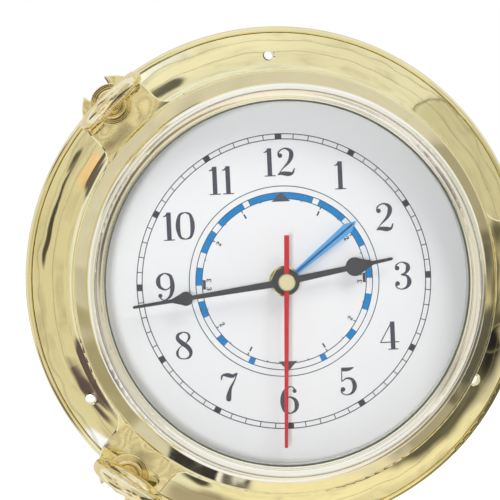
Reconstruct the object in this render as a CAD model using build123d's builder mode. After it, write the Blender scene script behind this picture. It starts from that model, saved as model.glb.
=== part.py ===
from build123d import *

import os
from itertools import product
from math import asin, atan2, cos, pi, radians, sin, sqrt, tau

# Porthole tide clock: a brass porthole with a hinged glazed bezel, two ring-headed dogs, and a
# quartz movement that drives hour, minute, second and tide hands.
# Frame: millimetres, X to the right, Z up, the dial faces -Y and the wall is the plane Y = 0.
# The origin is on the dial's axis at the wall. A depth is a distance forward of the wall.

os.makedirs("parts", exist_ok=True)

# Fits and cuts
flat_gap = 0.1  # between flat faces of bodies that move on each other
running_gap = 0.05  # on the radius of a shaft in its bearing
seat_gap = 0.3  # between a moving piece and what it closes on
drop_in_gap = 0.1  # on the radius of a disc or ring laid in its pocket
cut_overrun = 2.0  # how far a cutting tool runs past the face it leaves

# Flange and neck, one casting, outward from the pocket that holds the dial
pocket_radius = 66.0
neck_wall = 5.6
neck_draft = 0.7
cove_middle_reach = 1.5
cove_reach = 5.3
face_middle_reach = 4.9
flange_reach = 13.9
rim_bead_radius = 1.9
rim_groove_width = 0.7
rim_groove_depth = 0.5
face_edge_depth = 3.9
face_middle_depth = 5.6
cove_foot_depth = 7.6
cove_middle_depth = 10.8
cove_top_depth = 16.0
dial_ledge_width = 5.0
dial_ledge_thickness = 3.0
wall_screw_inset = 10.7
wall_screw_hole_radius = 1.75
wall_screw_head_radius = 2.3
wall_screw_head_angle = 90
wall_screw_sink = 0.14
wall_screw_angles = (90, 210, 330)

# Dial and what holds it
dial_thickness = 1.0
dial_sink = 2.0
snap_ring_thickness = 0.8
snap_ring_width = 2.2
snap_ring_bite = 0.7
snap_ring_split_angle = 6

# Bezel, outward from the pocket of the glass, its heights down from the crest
glass_pocket_inset = 0.4
lip_overlap = 3.0
lip_nose_radius = 0.6
lip_groove_width = 0.5
lip_groove_depth = 0.3
lip_thickness = 0.9
crest_rise = 1.0
roll_crest_reach = 0.5
roll_inner_drop = 1.2
roll_wall = 2.8
roll_foot_rise = 1.3
roll_foot_flare = 0.5
band_width = 5.2
band_rise = 0.25
band_edge_radius = 0.35
band_cove_radius = 1.0

# Glass, its seal and its retaining ring
seal_thickness = 0.4
seal_overhang = 0.5
glass_thickness = 2.3
glass_hand_gap = 1.4
retainer_depth = 4.2

# Dogs and their ears
dog_angles = {"upper": 132, "lower": 228}
dog_ring_angles = {"upper": 0, "lower": 7}
dog_reach = 11.9
ear_thickness = 2.3
ear_bevel = 0.4
ear_bevel_angle = 45
ear_half_width = 12.7
ear_fillet_radius = 6.0
ear_straight_drop = 3.0
ear_tip_reach = 8.6
ear_tip_half_gap = 4.9
ear_root_sink = 4.0
ear_brow_reach = 4.4
ear_brow_half_width = 9.7
fork_half_width = 4.0
dog_shank_radius = 2.5
dog_shank_reach = 5.9
dog_shank_bevel = 0.6
dog_washer_radius = 7.2
dog_washer_thickness = 1.7
dog_washer_step = 0.6
dog_washer_nose_radius = 0.3
dog_washer_groove_insets = (0.55, 1.1, 1.8)
dog_washer_groove_sides = (0.3, 0.3, 0.55)
dog_washer_groove_angle = 45
dog_washer_bead_gap = 0.1
dog_washer_bead_width = 1.0
dog_washer_bead_rise = 0.5
dog_neck_radius = 3.8
dog_neck_overlap = 3.75
dog_neck_taper_angle = 12
dog_ring_radius = 10.75
dog_ring_wire_radius = 2.5
dog_ring_lift = 1.2
dog_post_radius = 4.6
dog_post_bore_radius = 3.3
dog_post_bore_depth = 8.0
dog_post_bevel = 0.5
dog_post_bevel_angle = 90
post_rib_thickness = 4.4
post_rib_drop = 6.0
post_foot_depth = 1.5

# Hinge
hinge_reach = 10.9
hinge_rise = 1.2
knuckle_radius = 4.2
lug_half_width = 17.8
flange_knuckle_half_width = 7.9
hinge_pin_radius = 2.0
hinge_pin_head_radius = 2.9
hinge_pin_head_height = 1.0
hinge_pin_head_taper_angle = 30
hinge_rib_thickness = 6.0
hinge_rib_drop = 5.0

# Movement case
case_wall = 1.2
case_front_wall = 1.2
case_corner_radius = 3.0
case_side_gap = 1.2
bay_wall_gap = 0.6
cell_top_gap = 0.7
cell_bottom_gap = 0.5
cell_front_gap = 1.5
cover_gap = 0.3
knob_wall_gap = 2.4
bush_radius = 4.0
bush_flange_width = 1.4
bush_flange_thickness = 0.55
bush_reach = 2.0
dial_washer_width = 1.35
dial_washer_thickness = 0.5
dial_nut_wall = 0.5
gear_plate_thickness = 0.8
plate_bottom_margin = 0.18
plate_side_margin = 2.7
plate_top_margin = 5.9
plate_post_inset = 2.0
plate_post_radius = 1.4
upper_post_reach = 2.8
motor_post_across = 3.1
motor_post_drop = 2.6
screw_radius = 0.7
screw_head_radius = 1.2
screw_head_height = 0.7

# Wheels
wheel_thickness = 0.8
pinion_face = 1.0
arbor_radius = 0.5
pivot_radius = 0.3
pivot_length = 0.7
end_play = 0.15
tooth_tip_share = 0.8
tooth_root_share = 1.15
tooth_tip_width_share = 0.22
tooth_root_width_share = 0.46
train_module = 0.38
motion_module = 0.46
second_module = 0.5
rotor_module = 0.28
layer_pitch = 1.3
tide_end_gap = 0.4
motor_gap = 1.45
centre_teeth = 48
third_pinion_teeth = 6
third_teeth = 45
second_pinion_teeth = 6
second_teeth = 36
fifth_pinion_teeth = 6
fifth_teeth = 30
rotor_teeth = 6
cannon_teeth = 10
motion_teeth = 36
hour_pinion_teeth = 12
hour_teeth = 40
tide_pinion_teeth = 20
tide_teeth = 69
setting_teeth = 12
third_arbor_angle = 30
motion_arbor_angle = 150
fifth_arbor_angle = 210
rotor_angle = 180
setting_angle = 135

# Coaxial tubes, from the outside in
tide_tube_radius = 2.6
hour_tube_radius = 1.9
minute_tube_radius = 1.2

# Motor, its places measured from the rotor's axis
magnet_radius = 2.2
magnet_thickness = 1.4
stator_thickness = 0.8
stator_hole_radius = 2.7
stator_pole_reach = 3.7
stator_pole_half_height = 4.1
stator_height = 16.2
stator_tab_height = 2.8
stator_link_reach = 3.3
stator_link_width = 1.8
stator_core_reach = 7.1
stator_core_width = 2.6
stator_left_reach = 11.4
bobbin_radius = 2.8
bobbin_tube_radius = 1.7
bobbin_flange = 0.6
bobbin_gap = 0.3
winding_radius = 2.6

# Board, setting knob and cell
board_width = 25.0
board_height = 13.0
board_inset = 4.0
board_thickness = 1.0
crystal_radius = 1.0
crystal_length = 6.0
setting_shaft_radius = 0.8
setting_knob_radius = 4.5
setting_knob_thickness = 2.0
setting_knob_teeth = 12
setting_knob_groove = 0.5
cell_radius = 7.1
cell_body_length = 49.2
cell_nub_radius = 2.7
cell_nub_length = 1.0
contact_thickness = 0.5
contact_half_width = 4.0
contact_half_height = 4.5
contact_least_leaf = 1.9

# Hands
hand_thickness = 0.4
hand_spacing = 1.4
tide_hand_lift = 0.8
tide_hand_length = 32.4
tide_hand_hub_radius = 3.7
tide_hand_root_half_width = 0.6
tide_hand_wide_share = 0.883
tide_hand_half_width = 1.85
tide_hand_angle = 37.9
hour_hand_length = 38.1
hour_hand_hub_radius = 3.4
hour_hand_root_half_width = 1.2
hour_hand_neck_half_width = 0.95
hour_bulb_share = 0.646
hour_bulb_radius = 3.25
hour_hand_angle = 9.6
minute_hand_lip_gap = 9.0
minute_hand_hub_radius = 4.65
minute_hand_root_half_width = 1.25
minute_hand_neck_half_width = 0.75
minute_bulb_share = 0.655
minute_bulb_radius = 2.45
minute_hand_angle = 186.8
bulb_shoulder_angle = 52
hand_tip_half_width = 0.5
hand_bulb_end_half_width = 0.65
second_hand_lip_gap = 5.6
second_hand_half_width = 0.55
second_tail_length = 16.2
second_tail_half_width = 0.85
second_hand_hub_radius = 1.6
second_hand_angle = 267.4
second_cap_radius = 3.0
second_cap_height = 1.3
second_cap_dome = 0.35

SECTION = Plane(origin=(0, 0, 0), x_dir=(1, 0, 0), z_dir=(0, 0, -1))  # local x radius, local y depth


def front(depth, x=0.0, z=0.0):
    """A plane facing forward at a depth, local x to the right and local y up."""
    return Plane(origin=(x, -depth, z), x_dir=(1, 0, 0), z_dir=(0, -1, 0))


def spoke(depth, angle, radius=0.0):
    """A plane facing forward whose local x points outward at an angle from +X."""
    across, up = cos(radians(angle)), sin(radians(angle))
    return Plane(origin=(radius * across, -depth, radius * up), x_dir=(across, 0, up), z_dir=(0, -1, 0))


def turning_axis(angle, radius):
    """The axis of a turned piece that stands forward at an angle from +X and a radius."""
    return Axis(spoke(0, angle, radius).origin, (0, -1, 0))


def radial_section(angle, radius):
    """The section of a turned piece at an angle and radius: local x its radius, local y depth."""
    outward = (cos(radians(angle)), 0, sin(radians(angle)))
    along_rim = (sin(radians(angle)), 0, -cos(radians(angle)))
    return Plane(origin=spoke(0, angle, radius).origin, x_dir=outward, z_dir=along_rim)


def place(start, distance, angle):
    """The point at a distance and angle from another, seen from the front."""
    return (start[0] + distance * cos(radians(angle)), start[1] + distance * sin(radians(angle)))


def keep(piece, name):
    """Labels a finished piece and writes its STEP file."""
    piece.part.label = name
    export_step(piece.part, f"parts/{name}.step")


# Depths, stacked forward from the wall: knob, cover, train, dial, hands, glass
knob_front_depth = knob_wall_gap + setting_knob_thickness
cover_rear_depth = knob_front_depth + flat_gap
cover_depth = case_wall + cover_gap + 2 * crystal_radius + board_thickness
case_rear_depth = cover_rear_depth + cover_depth
plate_rear_depth = case_rear_depth
plate_front_depth = plate_rear_depth + gear_plate_thickness
stator_front_depth = plate_front_depth + stator_thickness
arbor_rear_depth = plate_front_depth + end_play
fifth_layer_depth = arbor_rear_depth + magnet_thickness + motor_gap
second_layer_depth = fifth_layer_depth + layer_pitch
third_layer_depth = second_layer_depth + layer_pitch
centre_layer_depth = third_layer_depth + layer_pitch
motion_layer_depth = centre_layer_depth + layer_pitch
hour_layer_depth = motion_layer_depth + layer_pitch
tide_layer_depth = hour_layer_depth + layer_pitch
case_inner_front_depth = tide_layer_depth + wheel_thickness + tide_end_gap
arbor_front_depth = case_inner_front_depth - end_play
dial_back_depth = case_inner_front_depth + case_front_wall
dial_front_depth = dial_back_depth + dial_thickness
seat_depth = dial_front_depth + dial_sink
bush_front_depth = dial_front_depth + bush_reach
tide_hand_depth = bush_front_depth + tide_hand_lift
hour_hand_depth = tide_hand_depth + hand_spacing
minute_hand_depth = hour_hand_depth + hand_spacing
second_hand_depth = minute_hand_depth + hand_spacing
glass_back_depth = second_hand_depth + hand_thickness + second_cap_height + glass_hand_gap
seal_back_depth = glass_back_depth + glass_thickness
lip_back_depth = seal_back_depth + seal_thickness
lip_front_depth = lip_back_depth + lip_thickness
crest_depth = lip_front_depth + crest_rise
bezel_back_depth = seat_depth + seat_gap
ear_front_depth = bezel_back_depth + ear_thickness
edge_front_depth = ear_front_depth + band_cove_radius + band_edge_radius
band_top_depth = edge_front_depth + band_rise
hinge_depth = bezel_back_depth + hinge_rise

# Radii of the flange and the bezel, both outward from the dial's pocket
neck_top_radius = pocket_radius + neck_wall
cove_top_radius = neck_top_radius + neck_draft
cove_middle_radius = cove_top_radius + cove_middle_reach
cove_foot_radius = cove_top_radius + cove_reach
face_middle_radius = cove_foot_radius + face_middle_reach
flange_radius = cove_foot_radius + flange_reach
glass_pocket_radius = pocket_radius - glass_pocket_inset
lip_radius = glass_pocket_radius - lip_overlap
roll_crest_radius = glass_pocket_radius + roll_crest_reach
roll_radius = glass_pocket_radius + roll_wall
band_inner_radius = roll_radius + roll_foot_flare
bezel_radius = band_inner_radius + band_width
dog_circle_radius = bezel_radius + dog_reach
hinge_circle_radius = bezel_radius + hinge_reach
ear_tip_radius = dog_circle_radius + ear_tip_reach

# Flange and neck
ledge_radius = pocket_radius - dial_ledge_width
rim_inner_radius = flange_radius - rim_bead_radius
rim_depth = 2 * rim_bead_radius
groove_inner_radius = rim_inner_radius - rim_groove_width
wall_screw_circle_radius = flange_radius - wall_screw_inset
face_slope = (cove_foot_depth - face_middle_depth) / face_middle_reach
wall_screw_chord_depth = face_middle_depth + (face_middle_radius - wall_screw_circle_radius) * face_slope
wall_screw_face_depth = wall_screw_chord_depth - wall_screw_sink
snap_groove_radius = pocket_radius + snap_ring_bite + drop_in_gap
snap_groove_top_depth = dial_front_depth + snap_ring_thickness + flat_gap
dog_post_top_depth = seat_depth - flat_gap

with BuildPart() as mount_flange:
    with BuildSketch(SECTION):
        with BuildLine():
            Line((pocket_radius, 0), (rim_inner_radius, 0))
            ThreePointArc(
                (rim_inner_radius, 0), (flange_radius, rim_bead_radius), (rim_inner_radius, rim_depth)
            )
            Polyline(
                (rim_inner_radius, rim_depth),
                (groove_inner_radius + rim_groove_width / 2, rim_depth - rim_groove_depth),
                (groove_inner_radius, face_edge_depth),
            )
            ThreePointArc(
                (groove_inner_radius, face_edge_depth),
                (face_middle_radius, face_middle_depth),
                (cove_foot_radius, cove_foot_depth),
            )
            ThreePointArc(
                (cove_foot_radius, cove_foot_depth),
                (cove_middle_radius, cove_middle_depth),
                (cove_top_radius, cove_top_depth),
            )
            Polyline(
                (cove_top_radius, cove_top_depth),
                (neck_top_radius, seat_depth),
                (pocket_radius, seat_depth),
                (pocket_radius, snap_groove_top_depth),
                (snap_groove_radius, snap_groove_top_depth),
                (snap_groove_radius, dial_front_depth),
                (pocket_radius, dial_front_depth),
                (pocket_radius, dial_back_depth),
                (ledge_radius, dial_back_depth),
                (ledge_radius, dial_back_depth - dial_ledge_thickness),
                (pocket_radius, dial_back_depth - dial_ledge_thickness),
                (pocket_radius, 0),
            )
        make_face()
    revolve(axis=Axis.Y)
    # Posts that receive the dogs, each tied to the neck by a rib
    for angle in dog_angles.values():
        with BuildSketch(spoke(post_foot_depth, angle, dog_circle_radius)):
            Circle(dog_post_radius)
        extrude(amount=dog_post_top_depth - post_foot_depth)
        rib_length = dog_circle_radius - pocket_radius - dial_ledge_width / 2
        with BuildSketch(spoke(post_foot_depth, angle, dog_circle_radius - rib_length / 2)):
            Rectangle(rib_length, post_rib_thickness)
        extrude(amount=seat_depth - post_rib_drop - post_foot_depth)
        with Locations(spoke(dog_post_top_depth, angle, dog_circle_radius)):
            CounterSinkHole(
                dog_post_bore_radius,
                dog_post_bore_radius + dog_post_bevel,
                dog_post_bore_depth,
                counter_sink_angle=dog_post_bevel_angle,
            )
    # Hinge post with the middle knuckle, and its rib to the neck
    with BuildSketch(front(post_foot_depth, hinge_circle_radius)):
        Rectangle(2 * knuckle_radius, 2 * flange_knuckle_half_width)
    extrude(amount=hinge_depth - post_foot_depth)
    with BuildSketch(Plane.XY.offset(-flange_knuckle_half_width)):
        with Locations((hinge_circle_radius, -hinge_depth)):
            Circle(knuckle_radius)
    extrude(amount=2 * flange_knuckle_half_width)
    hinge_rib_length = hinge_circle_radius - pocket_radius - dial_ledge_width / 2
    with BuildSketch(front(post_foot_depth, hinge_circle_radius - hinge_rib_length / 2)):
        Rectangle(hinge_rib_length, hinge_rib_thickness)
    extrude(amount=seat_depth - hinge_rib_drop - post_foot_depth)
    with BuildSketch(Plane.XY.offset(-flange_knuckle_half_width - cut_overrun)):
        with Locations((hinge_circle_radius, -hinge_depth)):
            Circle(hinge_pin_radius + running_gap / 2)
    extrude(amount=2 * (flange_knuckle_half_width + cut_overrun), mode=Mode.SUBTRACT)
    # Countersunk holes for the wall screws
    screw_places = [place((0, 0), wall_screw_circle_radius, angle) for angle in wall_screw_angles]
    with Locations(*[front(wall_screw_face_depth, x, z) for x, z in screw_places]):
        CounterSinkHole(
            wall_screw_hole_radius,
            wall_screw_head_radius,
            wall_screw_face_depth + cut_overrun,
            counter_sink_angle=wall_screw_head_angle,
        )
keep(mount_flange, "mount_flange")

# Hinge pin, peened at both ends
pin_half_length = lug_half_width + flat_gap
with BuildPart() as hinge_pin:
    with BuildSketch(Plane.XY.offset(-pin_half_length)):
        with Locations((hinge_circle_radius, -hinge_depth)):
            Circle(hinge_pin_radius)
    extrude(amount=2 * pin_half_length)
    for end in (-1, 1):
        with BuildSketch(Plane.XY.offset(end * pin_half_length)):
            with Locations((hinge_circle_radius, -hinge_depth)):
                Circle(hinge_pin_head_radius)
        extrude(amount=end * hinge_pin_head_height, taper=hinge_pin_head_taper_angle)
keep(hinge_pin, "hinge_pin")

# Dial plate
with BuildPart() as dial_plate:
    with BuildSketch(front(dial_back_depth)):
        Circle(pocket_radius - drop_in_gap)
        Circle(bush_radius + drop_in_gap, mode=Mode.SUBTRACT)
    extrude(amount=dial_thickness)
keep(dial_plate, "dial_plate")

# Snap ring that holds the dial on its ledge
with BuildPart() as dial_snap_ring:
    with BuildSketch(front(dial_front_depth)):
        Circle(pocket_radius + snap_ring_bite)
        Circle(pocket_radius + snap_ring_bite - snap_ring_width, mode=Mode.SUBTRACT)
        with Locations((0, -pocket_radius)):
            Rectangle(
                pocket_radius * radians(snap_ring_split_angle), 2 * snap_ring_width, mode=Mode.SUBTRACT
            )
    extrude(amount=snap_ring_thickness)
keep(dial_snap_ring, "dial_snap_ring")

# Bezel ring with the ears of the dogs and the lug of the hinge
band_edge_outer_radius = bezel_radius - band_cove_radius
lip_groove_radius = lip_radius + lip_nose_radius + lip_groove_width / 2
roll_inner_radius = lip_groove_radius + lip_groove_width / 2
roll_outer_arc = roll_radius - roll_crest_radius
roll_inner_arc = ((roll_crest_radius - roll_inner_radius) ** 2 + roll_inner_drop**2) / (2 * roll_inner_drop)
ear_straight_end = dog_circle_radius - ear_straight_drop
ear_brow_radius = dog_circle_radius + ear_brow_reach
knuckle_gap = flange_knuckle_half_width + seat_gap
ear_layers = [
    (bezel_back_depth, ear_thickness - ear_bevel, 0),
    (ear_front_depth - ear_bevel, ear_bevel, ear_bevel_angle),
]


def flared_side(half_width, fillet_radius, straight_end):
    """One side of an ear: from inside the ring, round a fillet, and out along the straight side.

    Draws it in the current line builder and returns its first and last points.
    """
    centre_across = half_width + fillet_radius
    centre_out = sqrt((bezel_radius + fillet_radius) ** 2 - centre_across**2)
    scale = bezel_radius / (bezel_radius + fillet_radius)
    touch = (centre_out * scale, centre_across * scale)
    start = (touch[0] - ear_root_sink, touch[1])
    turn = atan2(touch[1] - centre_across, touch[0] - centre_out)
    middle = (turn - pi / 2) / 2
    Line(start, touch)
    ThreePointArc(
        touch,
        (centre_out + fillet_radius * cos(middle), centre_across + fillet_radius * sin(middle)),
        (centre_out, half_width),
    )
    Line((centre_out, half_width), (straight_end, half_width))
    return start, (straight_end, half_width)


with BuildPart() as bezel_ring:
    with BuildSketch(SECTION):
        with BuildLine():
            Polyline(
                (glass_pocket_radius, bezel_back_depth),
                (bezel_radius, bezel_back_depth),
                (bezel_radius, ear_front_depth),
            )
            RadiusArc(
                (bezel_radius, ear_front_depth),
                (band_edge_outer_radius, ear_front_depth + band_cove_radius),
                band_cove_radius,
            )
            RadiusArc(
                (band_edge_outer_radius, ear_front_depth + band_cove_radius),
                (band_edge_outer_radius - band_edge_radius, edge_front_depth),
                -band_edge_radius,
            )
            Polyline(
                (band_edge_outer_radius - band_edge_radius, edge_front_depth),
                (band_inner_radius, band_top_depth),
                (roll_radius, band_top_depth + roll_foot_rise),
                (roll_radius, crest_depth - roll_outer_arc),
            )
            RadiusArc(
                (roll_radius, crest_depth - roll_outer_arc),
                (roll_crest_radius, crest_depth),
                -roll_outer_arc,
            )
            RadiusArc(
                (roll_crest_radius, crest_depth),
                (roll_inner_radius, crest_depth - roll_inner_drop),
                -roll_inner_arc,
            )
            Polyline(
                (roll_inner_radius, crest_depth - roll_inner_drop),
                (lip_groove_radius, lip_front_depth - lip_groove_depth),
                (lip_groove_radius - lip_groove_width / 2, lip_front_depth),
            )
            RadiusArc(
                (lip_groove_radius - lip_groove_width / 2, lip_front_depth),
                (lip_radius, lip_front_depth - lip_nose_radius),
                -lip_nose_radius,
            )
            Polyline(
                (lip_radius, lip_front_depth - lip_nose_radius),
                (lip_radius, lip_back_depth),
                (glass_pocket_radius, lip_back_depth),
                (glass_pocket_radius, bezel_back_depth),
            )
        make_face()
    revolve(axis=Axis.Y)
    # Ears and lug in two layers: the plate, and over it a layer that leans in as a bevel
    for (back_depth, height, lean), angle in product(ear_layers, dog_angles.values()):
        with BuildSketch(spoke(back_depth, angle)):
            with BuildLine():
                start, corner = flared_side(ear_half_width, ear_fillet_radius, ear_straight_end)
                ThreePointArc(
                    corner,
                    (ear_brow_radius, ear_brow_half_width),
                    (ear_tip_radius, ear_tip_half_gap),
                )
                Polyline((ear_tip_radius, ear_tip_half_gap), (ear_tip_radius, 0), (start[0], 0), start)
            make_face()
            mirror(about=Plane.XZ)
            with Locations((dog_circle_radius, 0)):
                Circle(fork_half_width, mode=Mode.SUBTRACT)
            with BuildLine():
                Polyline(
                    (dog_circle_radius, fork_half_width),
                    (ear_tip_radius - fork_half_width, fork_half_width),
                    (ear_tip_radius, ear_tip_half_gap),
                    (ear_tip_radius + cut_overrun, ear_tip_half_gap),
                    (ear_tip_radius + cut_overrun, -ear_tip_half_gap),
                    (ear_tip_radius, -ear_tip_half_gap),
                    (ear_tip_radius - fork_half_width, -fork_half_width),
                    (dog_circle_radius, -fork_half_width),
                    close=True,
                )
            make_face(mode=Mode.SUBTRACT)
        extrude(amount=height, taper=lean)
    for back_depth, height, lean in ear_layers:
        with BuildSketch(front(back_depth)):
            with BuildLine():
                start, corner = flared_side(lug_half_width, ear_fillet_radius, hinge_circle_radius)
                Polyline(corner, (hinge_circle_radius, 0), (start[0], 0), start)
            make_face()
            mirror(about=Plane.XZ)
        extrude(amount=height, taper=lean)
    for end in (-1, 1):
        knuckle_length = lug_half_width - knuckle_gap
        with BuildSketch(Plane.XY.offset(end * (knuckle_gap + knuckle_length / 2))):
            with Locations((hinge_circle_radius, -hinge_depth)):
                Circle(knuckle_radius)
        extrude(amount=knuckle_length / 2, both=True)
    slot_start = hinge_circle_radius - knuckle_radius - seat_gap
    with BuildSketch(front(hinge_depth - knuckle_radius - cut_overrun)):
        with Locations((slot_start, 0)):
            Rectangle(
                2 * knuckle_radius + cut_overrun,
                2 * knuckle_gap,
                align=(Align.MIN, Align.CENTER),
            )
    extrude(amount=2 * (knuckle_radius + cut_overrun), mode=Mode.SUBTRACT)
    with BuildSketch(Plane.XY.offset(-lug_half_width - cut_overrun)):
        with Locations((hinge_circle_radius, -hinge_depth)):
            Circle(hinge_pin_radius + running_gap)
    extrude(amount=2 * (lug_half_width + cut_overrun), mode=Mode.SUBTRACT)
keep(bezel_ring, "bezel_ring")

# Glass between its seal and its retaining ring
with BuildPart() as glass_seal:
    with BuildSketch(front(seal_back_depth)):
        Circle(glass_pocket_radius - drop_in_gap)
        Circle(lip_radius - seal_overhang, mode=Mode.SUBTRACT)
    extrude(amount=seal_thickness)
keep(glass_seal, "glass_seal")

with BuildPart() as glass:
    with BuildSketch(front(glass_back_depth)):
        Circle(glass_pocket_radius - 2 * drop_in_gap)
    extrude(amount=glass_thickness)
keep(glass, "glass")

with BuildPart() as glass_retainer:
    with BuildSketch(front(glass_back_depth - retainer_depth)):
        Circle(glass_pocket_radius - drop_in_gap)
        Circle(lip_radius, mode=Mode.SUBTRACT)
    extrude(amount=retainer_depth)
keep(glass_retainer, "glass_retainer")

# Dogs: a thick turned washer on each ear, and over it a screw with a ring for a head
washer_back_depth = ear_front_depth + flat_gap
washer_front_depth = washer_back_depth + dog_washer_thickness
washer_step_depth = washer_front_depth - dog_washer_step
washer_bead_radius = dog_neck_radius + dog_washer_bead_gap
washer_bead_middle_radius = washer_bead_radius + dog_washer_bead_width / 2
washer_bead_outer_radius = washer_bead_radius + dog_washer_bead_width
neck_back_depth = washer_front_depth + flat_gap
ring_depth = neck_back_depth + dog_ring_lift + dog_ring_radius + dog_ring_wire_radius
dog_shank_tip_depth = dog_post_top_depth - dog_shank_reach
for name, angle in dog_angles.items():
    turning = radial_section(angle, dog_circle_radius)
    with BuildPart() as dog_washer:
        with BuildSketch(turning):
            with BuildLine():
                Polyline(
                    (dog_shank_radius + running_gap, washer_front_depth),
                    (dog_shank_radius + running_gap, washer_back_depth),
                    (dog_washer_radius, washer_back_depth),
                    (dog_washer_radius, washer_step_depth - dog_washer_nose_radius),
                )
                RadiusArc(
                    (dog_washer_radius, washer_step_depth - dog_washer_nose_radius),
                    (dog_washer_radius - dog_washer_nose_radius, washer_step_depth),
                    -dog_washer_nose_radius,
                )
                Polyline(
                    (dog_washer_radius - dog_washer_nose_radius, washer_step_depth),
                    (washer_bead_outer_radius, washer_step_depth),
                )
                ThreePointArc(
                    (washer_bead_outer_radius, washer_step_depth),
                    (washer_bead_middle_radius, washer_front_depth + dog_washer_bead_rise),
                    (washer_bead_radius, washer_front_depth),
                )
                Line(
                    (washer_bead_radius, washer_front_depth),
                    (dog_shank_radius + running_gap, washer_front_depth),
                )
            make_face()
        revolve(axis=turning_axis(angle, dog_circle_radius))
        # Turned V grooves round the step, cut by a square stood on its corner
        with BuildSketch(turning):
            for inset, side in zip(dog_washer_groove_insets, dog_washer_groove_sides):
                with Locations((dog_washer_radius - inset, washer_step_depth)):
                    Rectangle(side, side, rotation=dog_washer_groove_angle)
        revolve(axis=turning_axis(angle, dog_circle_radius), mode=Mode.SUBTRACT)
    keep(dog_washer, f"dog_washer_{name}")

    dog_axis = spoke(dog_shank_tip_depth, angle, dog_circle_radius)
    facing = radians(angle + dog_ring_angles[name])
    ring_plane = Plane(
        origin=spoke(ring_depth, angle, dog_circle_radius).origin,
        x_dir=(0, -1, 0),
        z_dir=(cos(facing), 0, sin(facing)),
    )
    with BuildPart() as dog_screw:
        with BuildSketch(dog_axis):
            Circle(dog_shank_radius)
        extrude(amount=neck_back_depth - dog_shank_tip_depth)
        chamfer(dog_screw.faces().sort_by(Axis.Y)[-1].edges(), length=dog_shank_bevel)
        with BuildSketch(spoke(neck_back_depth, angle, dog_circle_radius)):
            Circle(dog_neck_radius)
        extrude(amount=dog_ring_lift + dog_neck_overlap, taper=dog_neck_taper_angle)
        with BuildSketch(
            Plane(
                origin=ring_plane.origin + ring_plane.x_dir * dog_ring_radius,
                x_dir=ring_plane.x_dir,
                z_dir=ring_plane.y_dir,
            )
        ):
            Circle(dog_ring_wire_radius)
        revolve(axis=Axis(ring_plane.origin, ring_plane.z_dir))
    keep(dog_screw, f"dog_screw_{name}")

# Where the arbors stand, from the wheels that mesh between them
centre_place = (0.0, 0.0)
third_distance = train_module * (centre_teeth + third_pinion_teeth) / 2
third_module = 2 * third_distance / (third_teeth + second_pinion_teeth)
third_place = place(centre_place, third_distance, third_arbor_angle)
motion_distance = motion_module * (cannon_teeth + motion_teeth) / 2
hour_module = 2 * motion_distance / (hour_pinion_teeth + hour_teeth)
tide_module = 2 * motion_distance / (tide_pinion_teeth + tide_teeth)
motion_place = place(centre_place, motion_distance, motion_arbor_angle)
fifth_distance = second_module * (second_teeth + fifth_pinion_teeth) / 2
fifth_place = place(centre_place, fifth_distance, fifth_arbor_angle)
rotor_distance = rotor_module * (fifth_teeth + rotor_teeth) / 2
rotor_place = place(fifth_place, rotor_distance, rotor_angle)
setting_distance = motion_module * (motion_teeth + setting_teeth) / 2
setting_place = place(motion_place, setting_distance, setting_angle)
pivot_places = (third_place, motion_place, fifth_place, rotor_place)

# The gear plate reaches past the wheels, and its posts stand in from its edges
centre_tip_radius = train_module * (centre_teeth / 2 + tooth_tip_share)
third_tip_radius = third_module * (third_teeth / 2 + tooth_tip_share)
stator_post_place = (rotor_place[0] - motor_post_across, rotor_place[1] - motor_post_drop)
gear_plate_left = stator_post_place[0] - screw_head_radius - screw_radius
gear_plate_right = third_place[0] + third_tip_radius + plate_side_margin
gear_plate_bottom = -(centre_tip_radius + plate_bottom_margin)
gear_plate_top = setting_place[1] + plate_top_margin
right_post_across = gear_plate_right - plate_post_inset
upper_post_height = gear_plate_top - plate_post_inset
post_places = (
    (right_post_across, gear_plate_bottom + plate_post_inset),
    (right_post_across, upper_post_height),
    (motion_place[0] - upper_post_reach, upper_post_height),
    stator_post_place,
)

# Movement case: a box open at the back, as wide as the cell and the motor need, with a wall
# between the train above and the cell below
cell_need = cell_body_length + cell_nub_length + contact_least_leaf
contact_need = 2 * contact_thickness + 2 * flat_gap + seat_gap
motor_need = stator_left_reach - rotor_place[0] + case_side_gap
case_inner_half_width = max((cell_need + contact_need) / 2, motor_need)
case_half_width = case_inner_half_width + case_wall
bay_wall_top = gear_plate_bottom - bay_wall_gap
bay_top = bay_wall_top - case_wall
cell_height = bay_top - cell_top_gap - cell_radius
cell_depth = case_inner_front_depth - cell_front_gap - cell_radius
bay_bottom = cell_height - cell_radius - cell_bottom_gap
case_bottom = bay_bottom - case_wall
case_height = case_half_width - case_bottom
case_middle = case_half_width - case_height / 2

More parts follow.
